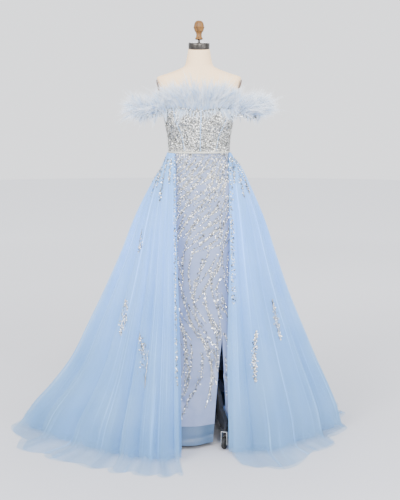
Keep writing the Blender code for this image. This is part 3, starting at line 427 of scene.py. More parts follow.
def overskirt_points(turn, level, run, layer):
    """The overskirt at a turn and a level; run leads from where it meets the floor to its hem."""
    turn, level, run = np.broadcast_arrays(turn, level, run)
    touch_x, touch_y, hem_x, hem_y, flare, fold = read_rows(STATIONS, turn)
    steep, flared = read_rows(PROFILE, level)
    waist = figure_points(-np.radians(turn), np.full(turn.shape, OVERSKIRT_TOP), WAIST_ROOM)
    touch = np.stack([touch_x, touch_y, np.zeros(turn.shape)], axis=-1)
    hem = np.stack([hem_x, hem_y, np.zeros(turn.shape)], axis=-1)
    count = (turn - FIRST_TURN) / FOLD_TURN
    phase = count * math.tau + layer.shift + slow_waves(FOLD_SPACING, count)
    ridge = np.maximum(0.0, 2 * np.cos(phase) - 1)
    points = lerp(waist, touch, lerp(steep, flared, flare)[..., None])
    points = lerp(points, hem, run[..., None])
    lift = lerp(RIDGE_LIFT, HEM_LIFT, run) * ridge * (1 - smooth_step(0, 0.05, level))
    points[..., 2] = OVERSKIRT_TOP * level + lift
    fall = 1 - level
    away = unit(points * (1, 1, 0))
    soft = SECOND_FOLD * np.cos(2 * phase + 1.1 + 1.5 * fall) + THIRD_FOLD * np.cos(3 * phase - 0.7)
    folds = np.cos(phase) + soft * smooth_step(0.05, 0.5, fall)
    gathers = FINE_GATHER * np.cos(5 * phase + 0.8) * (1 - smooth_step(0.02, 0.55, fall))
    uneven = slow_waves(FOLD_DEPTHS, count, FOLD_DEPTH)
    depth = (GATHER_DEPTH + fold * fall**1.15 * uneven) * folds + gathers
    loose = smooth_step(0, WAIST_FALL, fall)
    room = lerp(WAIST_ROOM - FIT_EASE, SHEATH_ROOM, loose)
    points = clear_of_sheath(points + away * depth[..., None], room)
    inset = lerp(layer.sewn, layer.inset_top, loose)
    inset = inset + (layer.inset_low - layer.inset_top) * smooth_step(*INSET_FALL, fall)
    return points - away * inset[..., None]


def band_points(side, share, up, outset=0.0):
    """A point of an off-shoulder band; share runs from its front end to its back end."""
    share, up = np.broadcast_arrays(share, up)
    angle = side * lerp(BAND_START, BAND_END, share)
    swell = np.sin(math.pi * np.clip(share, 0, 1))
    height = BAND_MIDDLE - BAND_SAG * swell + (up - 0.5) * BAND_TALL
    points = figure_points(angle, height, FIT_EASE + CLOTH + BAND_SEWN + outset)
    away = unit(np.stack([np.sin(angle), -BAND_FORWARD * np.cos(angle), 0 * angle], axis=-1))
    return points + away * (BAND_BULGE * swell**0.8 + BAND_FLARE * up * swell)[..., None]


# Meshes.


def add_piece(name, points, faces, material, uv=None, smooth=True, body=BODY):
    """Makes one mesh piece from points in the gown's frame, and lets it ride on its body."""
    mesh = bpy.data.meshes.new(name)
    mesh.from_pydata((points.reshape(-1, 3) + ORIGIN).tolist(), [], faces)
    mesh.materials.append(material)
    if uv is not None:
        layer = mesh.uv_layers.new(name="cloth")
        corner = np.empty(len(mesh.loops), dtype=np.int32)
        mesh.loops.foreach_get("vertex_index", corner)
        layer.data.foreach_set("uv", uv.reshape(-1, 2)[corner].astype(np.float32).ravel())
    if smooth:
        mesh.shade_smooth()
    piece = bpy.data.objects.new(name, mesh)
    bpy.context.scene.collection.objects.link(piece)
    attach(piece, body)
    return piece


def grid_faces(rows, columns, closed=False):
    """Quads of a grid of rows by columns points."""
    across = columns if closed else columns - 1
    low = np.arange(rows - 1)[:, None] * columns
    start = np.arange(across)[None, :]
    end = (start + 1) % columns
    faces = np.stack([low + start, low + end, low + columns + end, low + columns + start], -1)
    return faces.reshape(-1, 4).tolist()


def outward(points, faces):
    """Faces turned so that they look away from the gown's pole."""
    flat = points.reshape(-1, 3)
    corners = flat[np.array(faces)]
    normal = np.cross(corners[:, 2] - corners[:, 0], corners[:, 3] - corners[:, 1])
    facing = (normal * corners.mean(axis=1) * (1, 1, 0)).sum()
    return faces if facing > 0 else [face[::-1] for face in faces]


def cloth_sheet(name, points, material, thickness, node):
    """A cloth piece from a grid of points, with its UVs in metres of cloth."""
    rows, columns = points.shape[:2]
    faces = outward(points, grid_faces(rows, columns))
    step_u = np.linalg.norm(np.diff(points, axis=1), axis=-1).mean(axis=0)
    step_v = np.linalg.norm(np.diff(points, axis=0), axis=-1).mean(axis=1)
    u = np.concatenate([[0], np.cumsum(step_u)])
    v = np.concatenate([[0], np.cumsum(step_v)])
    uv = np.stack(np.meshgrid(u, v), axis=-1)
    piece = add_piece(name, points, faces, material, uv)
    if thickness:
        solid = piece.modifiers.new("thickness", "SOLIDIFY")
        solid.thickness = thickness
        solid.offset = 1.0
    if node:
        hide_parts(node)
    return piece


def lathe(name, profile, steps, material, centre=(0, 0, 0), tilt=0.0, rounding=1):
    """A turned piece about a vertical axis, its profile given as radius and height."""
    profile = np.array(profile, dtype=float)
    for _ in range(rounding):
        lower, upper = profile[:-1], profile[1:]
        cut = np.stack([lerp(lower, upper, 0.25), lerp(lower, upper, 0.75)], axis=1)
        profile = np.vstack([profile[:1], cut.reshape(-1, 2), profile[-1:]])
    angle = np.arange(steps) * math.tau / steps
    ring = np.stack([np.sin(angle), -np.cos(angle)], axis=-1)
    points = np.empty((len(profile), steps, 3))
    points[..., :2] = profile[:, None, :1] * ring[None]
    points[..., 2] = profile[:, None, 1]
    cosine, sine = math.cos(tilt), math.sin(tilt)
    turn = np.array([[1, 0, 0], [0, cosine, -sine], [0, sine, cosine]])
    points = points @ turn.T + np.array(centre)
    piece = add_piece(name, points, grid_faces(len(profile), steps, closed=True), material)
    merge(piece)
    return piece


WELD = 0.00002


def merge(piece):
    """Welds a mesh's doubled points and turns its faces outwards."""
    shape = bmesh.new()
    shape.from_mesh(piece.data)
    bmesh.ops.remove_doubles(shape, verts=shape.verts, dist=WELD)
    bmesh.ops.recalc_face_normals(shape, faces=shape.faces)
    shape.to_mesh(piece.data)
    shape.free()


Template = namedtuple("Template", "points faces")


def ring_template(sides, rim, middle):
    """A cupped disc: a rim of points round a middle one."""
    angle = np.arange(sides) * math.tau / sides
    points = np.stack([np.cos(angle), np.sin(angle), np.full(sides, rim)], axis=-1)
    faces = [(side, (side + 1) % sides, sides) for side in range(sides)]
    return Template(np.vstack([points, [[0, 0, middle]]]), np.array(faces))


def tube_template(sides):
    """An open prism along X, one unit long and one unit in radius."""
    angle = np.arange(sides) * math.tau / sides
    circle = np.stack([np.cos(angle), np.sin(angle)], axis=-1)
    ends = [np.column_stack([np.full(sides, x), circle]) for x in (-0.5, 0.5)]
    faces = []
    for side in range(sides):
        after = (side + 1) % sides
        faces += [(side, after, sides + after), (side, sides + after, sides + side)]
    return Template(np.vstack(ends), np.array(faces))


SEQUIN = ring_template(6, 0.0, -0.32)
BEAD = Template(
    np.array([(1, 0, 0), (0, 1, 0), (-1, 0, 0), (0, -1, 0), (0, 0, 1), (0, 0, -1)], dtype=float),
    np.array([(0, 1, 4), (1, 2, 4), (2, 3, 4), (3, 0, 4), (1, 0, 5), (2, 1, 5), (3, 2, 5), (0, 3, 5)]),
)
BUGLE = tube_template(4)


def stamp(name, template, places, along, normals, sizes, chance, material, tilt=0.25):
    """One joined mesh of a template at many places, each tilted a little by chance."""
    count = len(places)
    normals = unit(normals + chance.normal(0, tilt, (count, 3)))
    across = unit(np.cross(normals, along))
    along = np.cross(across, normals)
    sizes = np.broadcast_to(np.asarray(sizes, dtype=float), (count, 3))
    local = template.points[None] * sizes[:, None, :]
    axes = np.stack([along, across, normals], axis=1)
    points = places[:, None, :] + local @ axes
    shift = np.arange(count)[:, None, None] * len(template.points)
    faces = (template.faces[None] + shift).reshape(-1, 3)
    uv = np.repeat(chance.random((count, 1, 2)), len(template.points), axis=1)
    return add_piece(name, points, faces.tolist(), material, uv, smooth=False)


def round_sizes(chance, low, high, count):
    """The same size along all three axes, by chance between two sizes."""
    return np.repeat(chance.uniform(low, high, (count, 1)), 3, axis=1)


def spun(along, up, spin):
    """Directions in a surface, each turned by its own spin from along towards up."""
    return along * np.cos(spin)[:, None] + up * np.sin(spin)[:, None]


def surface_frame(surface, first, second, step=0.0015):
    """Point, direction along first and outward normal of a surface of two arrays."""
    points = surface(first, second)
    along = unit(surface(first + step, second) - surface(first - step, second))
    up = unit(surface(first, second + step) - surface(first, second - step))
    normals = unit(np.cross(along, up))
    facing = (normals * points * (1, 1, 0)).sum(axis=-1)
    normals = np.where(facing[..., None] < 0, -normals, normals)
    return points, along, up, normals


# Materials. A pair is the dark and the light tone of a cloth, wood or metal.

LINEN = ((0.84, 0.60, 0.36), (0.88, 0.65, 0.41))
KNOB_BEECH = ((0.07, 0.027, 0.003), (0.22, 0.095, 0.010))
PLATE_WALNUT = ((0.10, 0.06, 0.04), (0.20, 0.12, 0.08))
CAP_STEEL = ((0.048, 0.044, 0.040), (0.092, 0.084, 0.076))
ZINC = ((0.50, 0.52, 0.50), (0.68, 0.69, 0.67))
IRON = ((0.004, 0.004, 0.005), (0.012, 0.012, 0.014))
RUBBER = ((0.004, 0.004, 0.004), (0.012, 0.012, 0.012))
# Painted shade: the bodice's net is a darkened copy of the seam strips' blue net, for the shade in the
# gaps between its sequins.
BODICE_NET_IN_PAINTED_SHADE = ((0.20, 0.23, 0.29), (0.28, 0.31, 0.37))
SEAM_NET = ((0.26, 0.46, 0.80), (0.36, 0.56, 0.88))
BAND_NET = ((0.42, 0.52, 0.64), (0.52, 0.60, 0.72))
ZIP_WEAVE = ((0.45, 0.56, 0.72), (0.52, 0.62, 0.78))
IVORY_SATIN = ((0.44, 0.44, 0.39), (0.56, 0.56, 0.51))
SHEATH_NET = ((0.17, 0.22, 0.37), (0.22, 0.27, 0.42))
HEM_SATIN = ((0.052, 0.10, 0.175), (0.070, 0.126, 0.22))
OUTER_TULLE = ((0.245, 0.51, 0.84), (0.315, 0.58, 0.88))
SECOND_TULLE = ((0.225, 0.50, 0.86), (0.295, 0.56, 0.90))
INNER_TULLE = ((0.205, 0.48, 0.86), (0.275, 0.55, 0.90))
FLOOR_NEAR = ((0.50, 0.50, 0.53), (0.53, 0.53, 0.56))
FLOOR_FAR = (0.86, 0.87, 0.90, 1)
PLUME_TONES = ((0.08, (0.42, 0.62, 0.88)), (0.44, (0.68, 0.80, 0.94)), (0.80, (0.95, 0.96, 0.98)))
SEQUIN_TONES_WITH_PAINTED_REFLECTION = (  # tones of single sequins and how often: silver and champagne, while the dark tones are painted reflection and painted shade
    (0.00, (0.05, 0.05, 0.045)),
    (0.30, (0.20, 0.20, 0.175)),
    (0.52, (0.50, 0.49, 0.44)),
    (0.72, (0.86, 0.85, 0.80)),
    (1.00, (0.96, 0.96, 0.97)),
)
CUT_GLASS = (
    (0.00, (0.28, 0.28, 0.25)),
    (0.40, (0.58, 0.56, 0.50)),
    (0.75, (0.90, 0.89, 0.85)),
    (1.00, (0.80, 0.85, 0.92)),
)
WOOD_STRETCH = (1.0, 1.0, 0.12)
LAID_TULLE = 0.045  # height under which the train lies out thinly on the floor


class Nodes:
    """A material's nodes, added one at a time."""

    def __init__(self, name):
        self.material = bpy.data.materials.new(name)
        self.material.use_nodes = True
        self.tree = self.material.node_tree
        self.tree.nodes.clear()
        self.output = self.tree.nodes.new("ShaderNodeOutputMaterial")

    def add(self, kind, sockets=None, **settings):
        made = self.tree.nodes.new("ShaderNode" + kind)
        for key, value in settings.items():
            setattr(made, key, value)
        for key, value in (sockets or {}).items():
            if isinstance(value, bpy.types.NodeSocket):
                self.tree.links.new(value, made.inputs[key])
            else:
                made.inputs[key].default_value = value
        return made.outputs

    def math(self, operation, first, second=0.0, third=0.5):
        return self.add("Math", {0: first, 1: second, 2: third}, operation=operation)[0]

    def spread(self, value, low, high, start=0.0, end=1.0):
        """The value, which runs from start to end, as one from low to high."""
        sockets = {"Value": value, "From Min": start, "From Max": end, "To Min": low, "To Max": high}
        return self.add("MapRange", sockets)["Result"]

    def noise(self, scale, detail=2.0, vector=None, stretch=None):
        place = vector or self.add("TexCoord")["Object"]
        if stretch:
            place = self.add("Mapping", {"Vector": place, "Scale": stretch})["Vector"]
        return self.add("TexNoise", {"Vector": place, "Scale": scale, "Detail": detail})["Fac"]

    def ramp(self, factor, stops):
        made = self.tree.nodes.new("ShaderNodeValToRGB")
        self.tree.links.new(factor, made.inputs["Fac"])
        points = made.color_ramp.elements
        while len(points) < len(stops):
            points.new(0.5)
        for point, (place, colour) in zip(points, stops):
            point.position = place
            point.color = (*colour, 1)
        return made.outputs["Color"]

    def tones(self, factor, pair):
        """A dark and a light tone, mixed by a noise."""
        return self.ramp(factor, ((0.30, pair[0]), (0.70, pair[1])))

    def weave(self, threads):
        """Warp and weft across the piece's UVs, so many threads to a metre."""
        flat = self.add("TexCoord")["UV"]
        sockets = {"Vector": flat, "Scale": threads / 20, "Distortion": 0.4, "Detail": 1.0}
        bands = [self.add("TexWave", sockets, bands_direction=way)["Fac"] for way in ("X", "Y")]
        return self.math("MULTIPLY", *bands)

    def bump(self, height, strength, distance):
        sockets = {"Height": height, "Strength": strength, "Distance": distance}
        return self.add("Bump", sockets)["Normal"]

    def principled(self, sockets):
        return self.add("BsdfPrincipled", sockets)["BSDF"]

    def finish(self, shader):
        self.tree.links.new(shader, self.output.inputs["Surface"])
        return self.material


def linen_material():
    """Form cover: unbleached linen, with its weave and a soft unevenness."""
    nodes = Nodes("linen_cover")
    colour = nodes.tones(nodes.noise(9.0, 3.0), LINEN)
    normal = nodes.bump(nodes.weave(1500), 0.25, 0.0004)
    return nodes.finish(nodes.principled({"Base Color": colour, "Roughness": 0.85, "Normal": normal}))


def net_material(name, pair, sheen=0.2):
    """Beaded panels' ground: a fine net over satin."""
    nodes = Nodes(name)
    colour = nodes.tones(nodes.noise(22.0, 3.0), pair)
    normal = nodes.bump(nodes.weave(900), 0.30, 0.0005)
    sockets = {"Base Color": colour, "Roughness": 0.50, "Normal": normal}
    sockets.update({"Sheen Weight": sheen, "Sheen Roughness": 0.4})
    return nodes.finish(nodes.principled(sockets))


def sheath_material():
    """Sheath: beaded net over satin, which ends above a plain satin hem band."""
    nodes = Nodes("sheath_net")
    place = nodes.add("TexCoord")["Object"]
    height = nodes.add("SeparateXYZ", {"Vector": place})["Z"]
    net = nodes.tones(nodes.noise(16.0, 3.0), SHEATH_NET)
    satin = nodes.tones(nodes.noise(12.0, 2.0), HEM_SATIN)
    below = nodes.math("LESS_THAN", height, NET_HEM)
    colour = nodes.add("Mix", {0: below, 6: net, 7: satin}, data_type="RGBA")[2]
    rough = nodes.math("MULTIPLY_ADD", below, -0.12, 0.52)
    normal = nodes.bump(nodes.weave(900), 0.25, 0.0005)
    sockets = {"Base Color": colour, "Roughness": rough, "Normal": normal}
    sockets.update({"Sheen Weight": 0.25, "Sheen Roughness": 0.4})
    return nodes.finish(nodes.principled(sockets))


def sequin_material(name, stops, rough=(0.12, 0.38)):
    """Foiled sequins and cut beads, each with its own tone and polish; the sequins' dark tones are
    painted reflection and shade.
    """
    nodes = Nodes(name)
    own = nodes.add("SeparateXYZ", {"Vector": nodes.add("TexCoord")["UV"]})
    colour = nodes.ramp(own["X"], stops)
    sockets = {"Base Color": colour, "Metallic": 0.85, "Roughness": nodes.spread(own["Y"], *rough)}
    return nodes.finish(nodes.principled(sockets))


def piping_material():
    """Waist band: ivory satin cord."""
    nodes = Nodes("ivory_satin")
    colour = nodes.tones(nodes.noise(60.0), IVORY_SATIN)
    normal = nodes.bump(nodes.weave(700), 0.4, 0.0006)
    return nodes.finish(nodes.principled({"Base Color": colour, "Roughness": 0.4, "Normal": normal}))


def tulle_material(name, pair, alpha, edge_alpha):
    """Sheer net: more of it shows where it turns away, and light passes through it; its colour has
    painted shade down the skirt and along its pleats, and painted highlight on doubled pleats.
    """
    nodes = Nodes(name)
    colour = nodes.tones(nodes.noise(5.0, 2.0), pair)
    facing = nodes.add("LayerWeight", {"Blend": 0.35})["Facing"]
    cover = nodes.spread(facing, alpha, edge_alpha)
    flat = nodes.add("TexCoord")["UV"]
    holes = nodes.add("TexVoronoi", {"Vector": flat, "Scale": 620.0}, feature="DISTANCE_TO_EDGE")
    thread = nodes.spread(holes["Distance"], 1.15, 0.85, 0.05, 0.25)
    streak = nodes.noise(1.0, 4.0, flat, (30.0, 1.2, 1.0))
    fuller = nodes.spread(streak, 0.36, 1.64)
    cover = nodes.math("MULTIPLY", nodes.math("MULTIPLY", cover, thread), fuller)
    height = nodes.add("SeparateXYZ", {"Vector": nodes.add("TexCoord")["Object"]})["Z"]
    pleats = nodes.noise(1.0, 2.0, flat, (60.0, 0.7, 1.0))
    doubled_and_painted_highlight = nodes.spread(pleats, 0.0, 0.25, 0.57, 0.66)
    cover = nodes.math("ADD", cover, doubled_and_painted_highlight)
    cover = nodes.math("MULTIPLY", cover, nodes.spread(height, 0.42, 1.0, 0.0, LAID_TULLE))
    # Painted shade: the tulle's colour is darker towards the floor and lighter towards the waist, for
    # how the light falls off down the skirt.
    fullness_and_painted_shade = nodes.spread(height, 0.84, 1.27, 0.0, 0.85)
    # Painted shade and highlight: dark and light stripes along the pleats, darker where the streaks
    # make the tulle fuller.
    fullness_and_painted_shade = nodes.math("MULTIPLY", fullness_and_painted_shade, nodes.spread(streak, 1.34, 0.66))
    # Painted highlight: the doubled pleats are made lighter in colour as well as denser.
    fullness_and_painted_shade = nodes.math("ADD", fullness_and_painted_shade, doubled_and_painted_highlight)
    colour = nodes.add("VectorMath", {0: colour, "Scale": fullness_and_painted_shade}, operation="SCALE")["Vector"]
    cloth = nodes.principled({"Base Color": colour, "Roughness": 0.9})
    through = nodes.add("BsdfTranslucent", {"Color": colour})["BSDF"]
    cloth = nodes.add("MixShader", {"Fac": 0.35, 1: cloth, 2: through})["Shader"]
    clear = nodes.add("BsdfTransparent")["BSDF"]
    return nodes.finish(nodes.add("MixShader", {"Fac": cover, 1: clear, 2: cloth})["Shader"])


def plume_material():
    """Dyed ostrich barbs: bluer at the quill, paler and thinner at the tip."""
    nodes = Nodes("plume_barbs")
    own = nodes.add("SeparateXYZ", {"Vector": nodes.add("TexCoord")["UV"]})
    along = nodes.math("MULTIPLY", own["X"], 0.55)
    colour = nodes.ramp(nodes.math("MULTIPLY_ADD", own["Y"], 0.60, along), PLUME_TONES)
    barbs = nodes.principled({"Base Color": colour, "Roughness": 0.7, "Sheen Weight": 0.2})
    through = nodes.add("BsdfTranslucent", {"Color": colour})["BSDF"]
    return nodes.finish(nodes.add("MixShader", {"Fac": 0.40, 1: barbs, 2: through})["Shader"])


def wood_material(name, pair, rough):
    """Turned wood with its grain along Z."""
    nodes = Nodes(name)
    grain = nodes.noise(160.0, 5.0, stretch=WOOD_STRETCH)
    colour = nodes.tones(grain, pair)
    normal = nodes.bump(grain, 0.15, 0.0006)
    return nodes.finish(nodes.principled({"Base Color": colour, "Roughness": rough, "Normal": normal}))


def metal_material(name, pair, rough, metal, grain=120.0, bump=0.1):
    """Bare or painted metal and rubber, with a fine grain and worn, uneven polish."""
    nodes = Nodes(name)
    spots = nodes.noise(grain, 4.0)
    polish = nodes.spread(spots, rough * 0.8, rough * 1.25)
    sockets = {"Base Color": nodes.tones(spots, pair), "Metallic": metal, "Roughness": polish}
    sockets["Normal"] = nodes.bump(spots, bump, 0.0006)
    return nodes.finish(nodes.principled(sockets))


def floor_material():
    """Pale floor, lighter far off, where it meets the backdrop's tone."""
    nodes = Nodes("studio_floor")
    place = nodes.add("TexCoord")["Object"]
    far = nodes.add("VectorMath", {0: place}, operation="LENGTH")["Value"]
    far = nodes.spread(far, 0.0, 1.0, 0.8, 6.0)
    sockets = {0: far, 6: nodes.tones(nodes.noise(0.8, 2.0), FLOOR_NEAR), 7: FLOOR_FAR}
    colour = nodes.add("Mix", sockets, data_type="RGBA")[2]
    return nodes.finish(nodes.principled({"Base Color": colour, "Roughness": 0.85}))


# Dress form and stand.

FORM_SEAMS = (0, 34, 90, 146, 180, 214, 270, 326)
FORM_SEAM_DEEP = 0.0008
FORM_SEAM_WIDE = math.radians(1.1)
FORM_SHOULDER = 1.520  # above it the rows lie closer
PLATE_FLAT = 0.93  # share of a plate's radius inside its bevel


def build_torso(material):
    """The form's linen-covered body, with its sewn seams pressed in."""
    columns = 144
    body = np.arange(FIGURE[0][0], FORM_SHOULDER, 0.010)
    heights = np.concatenate([body, np.arange(FORM_SHOULDER, NECK_TOP, 0.004), [NECK_TOP]])
    angle = np.arange(columns + 1) * math.tau / columns
    grid_angle, grid_height = np.meshgrid(angle, heights)
    seam = np.zeros(grid_angle.shape)
    for degrees in FORM_SEAMS:
        turn = (grid_angle - math.radians(degrees) + math.pi) % math.tau - math.pi
        seam += FORM_SEAM_DEEP * np.exp(-((turn / FORM_SEAM_WIDE) ** 2))
    points = figure_points(grid_angle, grid_height)
    away = unit(points * (1, 1, 0))
    points = points - away * seam[..., None]
    top = points[-1].mean(axis=0) * np.ones_like(points[-1:])
    low = points[0].mean(axis=0) * np.ones_like(points[:1])
    points = np.concatenate([low, points, top])
    merge(cloth_sheet("form_linen_cover", points, material, None, "form_torso"))


def build_form_top(knob_wood, steel):
    """The turned knob, and the rounded metal cap under it."""
    knob = lathe("form_knob_turned", KNOB_PROFILE, 48, knob_wood, (0, NECK_LEAN, 0), rounding=2)
    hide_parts("form_knob")
    profile = (
        (0.0, CAP_THICK),
        (CAP_RADIUS * 0.60, CAP_THICK),
        (CAP_RADIUS - 0.0030, CAP_THICK - 0.0003),
        (CAP_RADIUS, CAP_THICK - 0.0030),
        (CAP_RADIUS, 0.0040),
        (CAP_RADIUS - 0.0008, 0.0),
        (0.0, 0.0),
    )
    place = (0, NECK_LEAN, NECK_TOP + SEAM_GAP)
    cap = lathe("form_cap_turned", profile, 64, steel, place, NECK_TILT)
    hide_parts("form_cap")


def build_armhole_plates(material):
    """Bevelled wooden discs that close the form's armholes."""
    half = PLATE_THICK / 2
    edge = half * 0.4
    profile = ((0.0, half), (PLATE_FLAT, half), (1.0, edge))
    profile += tuple((radius, -height) for radius, height in reversed(profile))
    for side, label in ((-1, "right"), (1, "left")):
        plate = lathe(f"armhole_plate_{label}", profile, 56, material)
        rows = np.empty(len(plate.data.vertices) * 3)
        plate.data.vertices.foreach_get("co", rows)
        local = rows.reshape(-1, 3) - ORIGIN
        local = local * (PLATE_HALF_TALL, PLATE_HALF_DEEP, 1)
        turn = side * (math.pi / 2 + PLATE_LEAN)
        x = local[:, 0] * math.cos(turn) + local[:, 2] * math.sin(turn)
        z = -local[:, 0] * math.sin(turn) + local[:, 2] * math.cos(turn)
        placed = np.stack([x, local[:, 1], z], axis=-1) + (side * PLATE_PLACE[0], *PLATE_PLACE[1:])
        plate.data.vertices.foreach_set("co", (placed + ORIGIN).ravel())
        plate.data.update()
        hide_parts(f"form_armhole_plate_{label}")


def paint_frame_nodes(paints):
    """Gives the solids that stay in view their own finish."""
    for name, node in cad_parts.items():
        for start, material in paints.items():
            if name.startswith(start):
                node.data.materials.clear()
                node.data.materials.append(material)
                for slot in node.material_slots:
                    slot.link = "OBJECT"
                    slot.material = material


# Bodice, waist band and shoulder bands.

BODICE_RADIUS = 0.12  # about, where seams and gaps are laid out as angles
BACK_RADIUS = 0.09
WAIST_RADIUS = 0.086
BUST_RADIUS = 0.13
ROW_RISE = 0.866  # from a row of beads to the next, against the gap between two beads
BUGLE_THIN = 0.0008
SEAM_STRIP = 0.0016  # half the width of bare net along a bodice seam
SEQUINS_A_BAND = 1100


def bodice_surface(angle, height):
    return figure_points(angle, height, FIT_EASE + CLOTH)


def shares(rows, columns):
    """A column of shares up a sheet, and a row of shares across it."""
    return np.linspace(0.0, 1.0, rows)[:, None], np.linspace(0.0, 1.0, columns)[None, :]


def build_bodice(material):
    up, across = shares(26, 26)
    for panel in BODICE_PANELS:
        start = lerp(panel.low_start, panel.high_start, up)
        end = lerp(panel.low_end, panel.high_end, up)
        inset = math.degrees(SEAM_GAP / BODICE_RADIUS)
        angle = np.radians(lerp(start + inset, end - inset, across))
        height = lerp(WAIST_HEIGHT + WAIST_SPLAY, neckline(angle), up)
        points = figure_points(angle, height, FIT_EASE)
        meet_zip(points, panel.label)
        name = f"bodice_net_{panel.label}"
        piece = cloth_sheet(name, points, material, CLOTH, f"bodice_{panel.label}")


def meet_zip(points, label, zipped=slice(None)):
    """Brings the edges of the two back panels up to the zip's tape, on the rows beside it."""
    if label == "back_left":
        points[zipped, -1, 0] = ZIP_HALF_WIDTH + SEAM_GAP
    elif label == "back_right":
        points[zipped, 0, 0] = -ZIP_HALF_WIDTH - SEAM_GAP


def bodice_bead_places(spacing, chance, jitter, keep_seams):
    """Angles and heights of beads in staggered rows round the bodice."""
    angles, heights = [], []
    dense = np.linspace(-math.pi, math.pi, 721)
    row = 0
    height = WAIST_HEIGHT + 0.0065
    while height < NECKLINE_FRONT:
        line = bodice_surface(dense, np.full(dense.shape, height))
        length = np.concatenate([[0], np.cumsum(np.linalg.norm(np.diff(line, axis=0), axis=1))])
        places = np.arange(row % 2 * spacing / 2, length[-1], spacing)
        places = places + chance.normal(0, jitter, len(places))
        angle = np.interp(places, length, dense)
        keep = np.abs(np.abs(angle) - math.pi) > ZIP_HALF_WIDTH / BACK_RADIUS
        if keep_seams:
            for seam in seam_angles(height):
                turn = (angle - seam + math.pi) % math.tau - math.pi
                keep &= np.abs(turn) > keep_seams / BUST_RADIUS
        angles.append(angle[keep])
        heights.append(np.full(keep.sum(), height) + chance.normal(0, jitter, keep.sum()))
        height += spacing * ROW_RISE
        row += 1
    angle, height = np.concatenate(angles), np.concatenate(heights)
    inside = (height < neckline(angle) - 0.0015) & (height > WAIST_HEIGHT + 0.005)
    return angle[inside], height[inside]


def build_bodice_beads(sequins, crystals):
    """Close rows of sequins, and over them scattered beads and bugles."""
    chance = np.random.default_rng(21)
    angle, height = bodice_bead_places(0.0036, chance, 0.0006, 0.0019)
    points, along, up, normals = surface_frame(bodice_surface, angle, height)
    sizes = round_sizes(chance, 0.0017, 0.0026, len(points))
    along = spun(along, up, chance.uniform(0, math.tau, len(points)))
    lifted = points + normals * chance.uniform(0.0004, 0.0018, (len(points), 1))
    piece = stamp("bodice_sequins", SEQUIN, lifted, along, normals, sizes, chance, sequins, 0.30)
    angle, height = bodice_bead_places(0.0095, chance, 0.0022, 0.0)
    points, along, up, normals = surface_frame(bodice_surface, angle, height)
    sizes = round_sizes(chance, 0.0010, 0.0017, len(points))
    lifted = points + normals * 0.0022
    piece = stamp("bodice_beads", BEAD, lifted, along, normals, sizes, chance, crystals, 0.4)
    angle, height = bodice_bead_places(0.0110, chance, 0.0026, 0.0)
    points, along, up, normals = surface_frame(bodice_surface, angle, height)
    along = spun(along, up, chance.uniform(0, math.tau, len(points)))
    length = chance.uniform(0.0045, 0.0070, (len(points), 1))
    sizes = np.hstack([length, np.full((len(points), 2), BUGLE_THIN)])
    lifted = points + normals * 0.0020
    piece = stamp("bodice_bugles", BUGLE, lifted, along, normals, sizes, chance, sequins, 0.1)


def build_bodice_seams(material):
    """Narrow strips of bare net along the bodice's seams, a little proud of the panels."""
    rows = 40
    up = np.linspace(0.0, 1.0, rows)[:, None]
    points, faces = [], []
    for panel in BODICE_PANELS[:-1]:
        middle = np.radians(lerp(panel.low_start, panel.high_start, up))
        angle = middle + np.array([[-1.0, 0.0, 1.0]]) * SEAM_STRIP / BODICE_RADIUS
        height = lerp(WAIST_HEIGHT + 0.005, neckline(angle), up)
        outset = FIT_EASE + CLOTH + np.array([[0.0002, 0.0012, 0.0002]])
        strip = figure_points(angle, height, outset + 0 * angle)
        shift = len(points) * rows * 3
        quads = outward(strip, grid_faces(rows, 3))
        faces += [[corner + shift for corner in quad] for quad in quads]
        points.append(strip)
    piece = add_piece("bodice_seam_strips", np.stack(points), faces, material)


def build_waist_band(material, crystals):
    """Rounded ivory band over the waist seam, with a row of small beads at each edge."""
    opening = (ZIP_HALF_WIDTH + 2 * SEAM_GAP) / WAIST_RADIUS
    angle = np.linspace(opening - math.pi, math.pi - opening, 220)[None, :]
    inner = FIT_EASE + CLOTH + CURVED_GAP
    outer = inner + BAND_THICK
    rounds = np.linspace(-math.pi / 2, math.pi / 2, 9)[:, None]
    height = WAIST_HEIGHT + np.sin(rounds) * BAND_HEIGHT / 2 + 0 * angle
    outset = lerp(inner + 0.0004, outer, np.cos(rounds)) + 0 * angle
    points = figure_points(angle + 0 * rounds, height, outset)
    piece = cloth_sheet("waist_band", points, material, None, "waist_piping")
    chance = np.random.default_rng(22)
    for up, label in ((-1, "low"), (1, "high")):
        angle = np.linspace(opening - math.pi, math.pi - opening, 250)
        height = np.full(angle.shape, WAIST_HEIGHT + up * (BAND_HEIGHT / 2 - 0.0012))

        def surface(first, second):
            return figure_points(first, second, outer - 0.0002)

        places, along, _, normals = surface_frame(surface, angle, height)
        sizes = np.full((len(places), 3), 0.0012)
        stamp(f"waist_beads_{label}", BEAD, places, along, normals, sizes, chance, crystals, 0.2)


def build_shoulder_bands(material, sequins):
    """Net bands round the upper arms, covered with sequins under their plumes."""
    chance = np.random.default_rng(23)
    for side, label in ((-1, "right"), (1, "left")):
        up, share = shares(9, 60)
        points = band_points(side, share, up)
        name, node = f"shoulder_band_cloth_{label}", f"shoulder_band_{label}"
        piece = cloth_sheet(name, points, material, CLOTH, node)
        share = chance.uniform(0.02, 0.98, SEQUINS_A_BAND)
        up = chance.uniform(0.03, 0.97, SEQUINS_A_BAND)

        def surface(first, second, side=side):
            return band_points(side, first, second, CLOTH)

        places, along, _, normals = surface_frame(surface, share, up)
        sizes = round_sizes(chance, 0.0016, 0.0024, len(places))
        lifted = places + normals * 0.0008
        beads = stamp(f"band_sequins_{label}", SEQUIN, lifted, along, normals, sizes, chance, sequins)


# Sheath skirt.

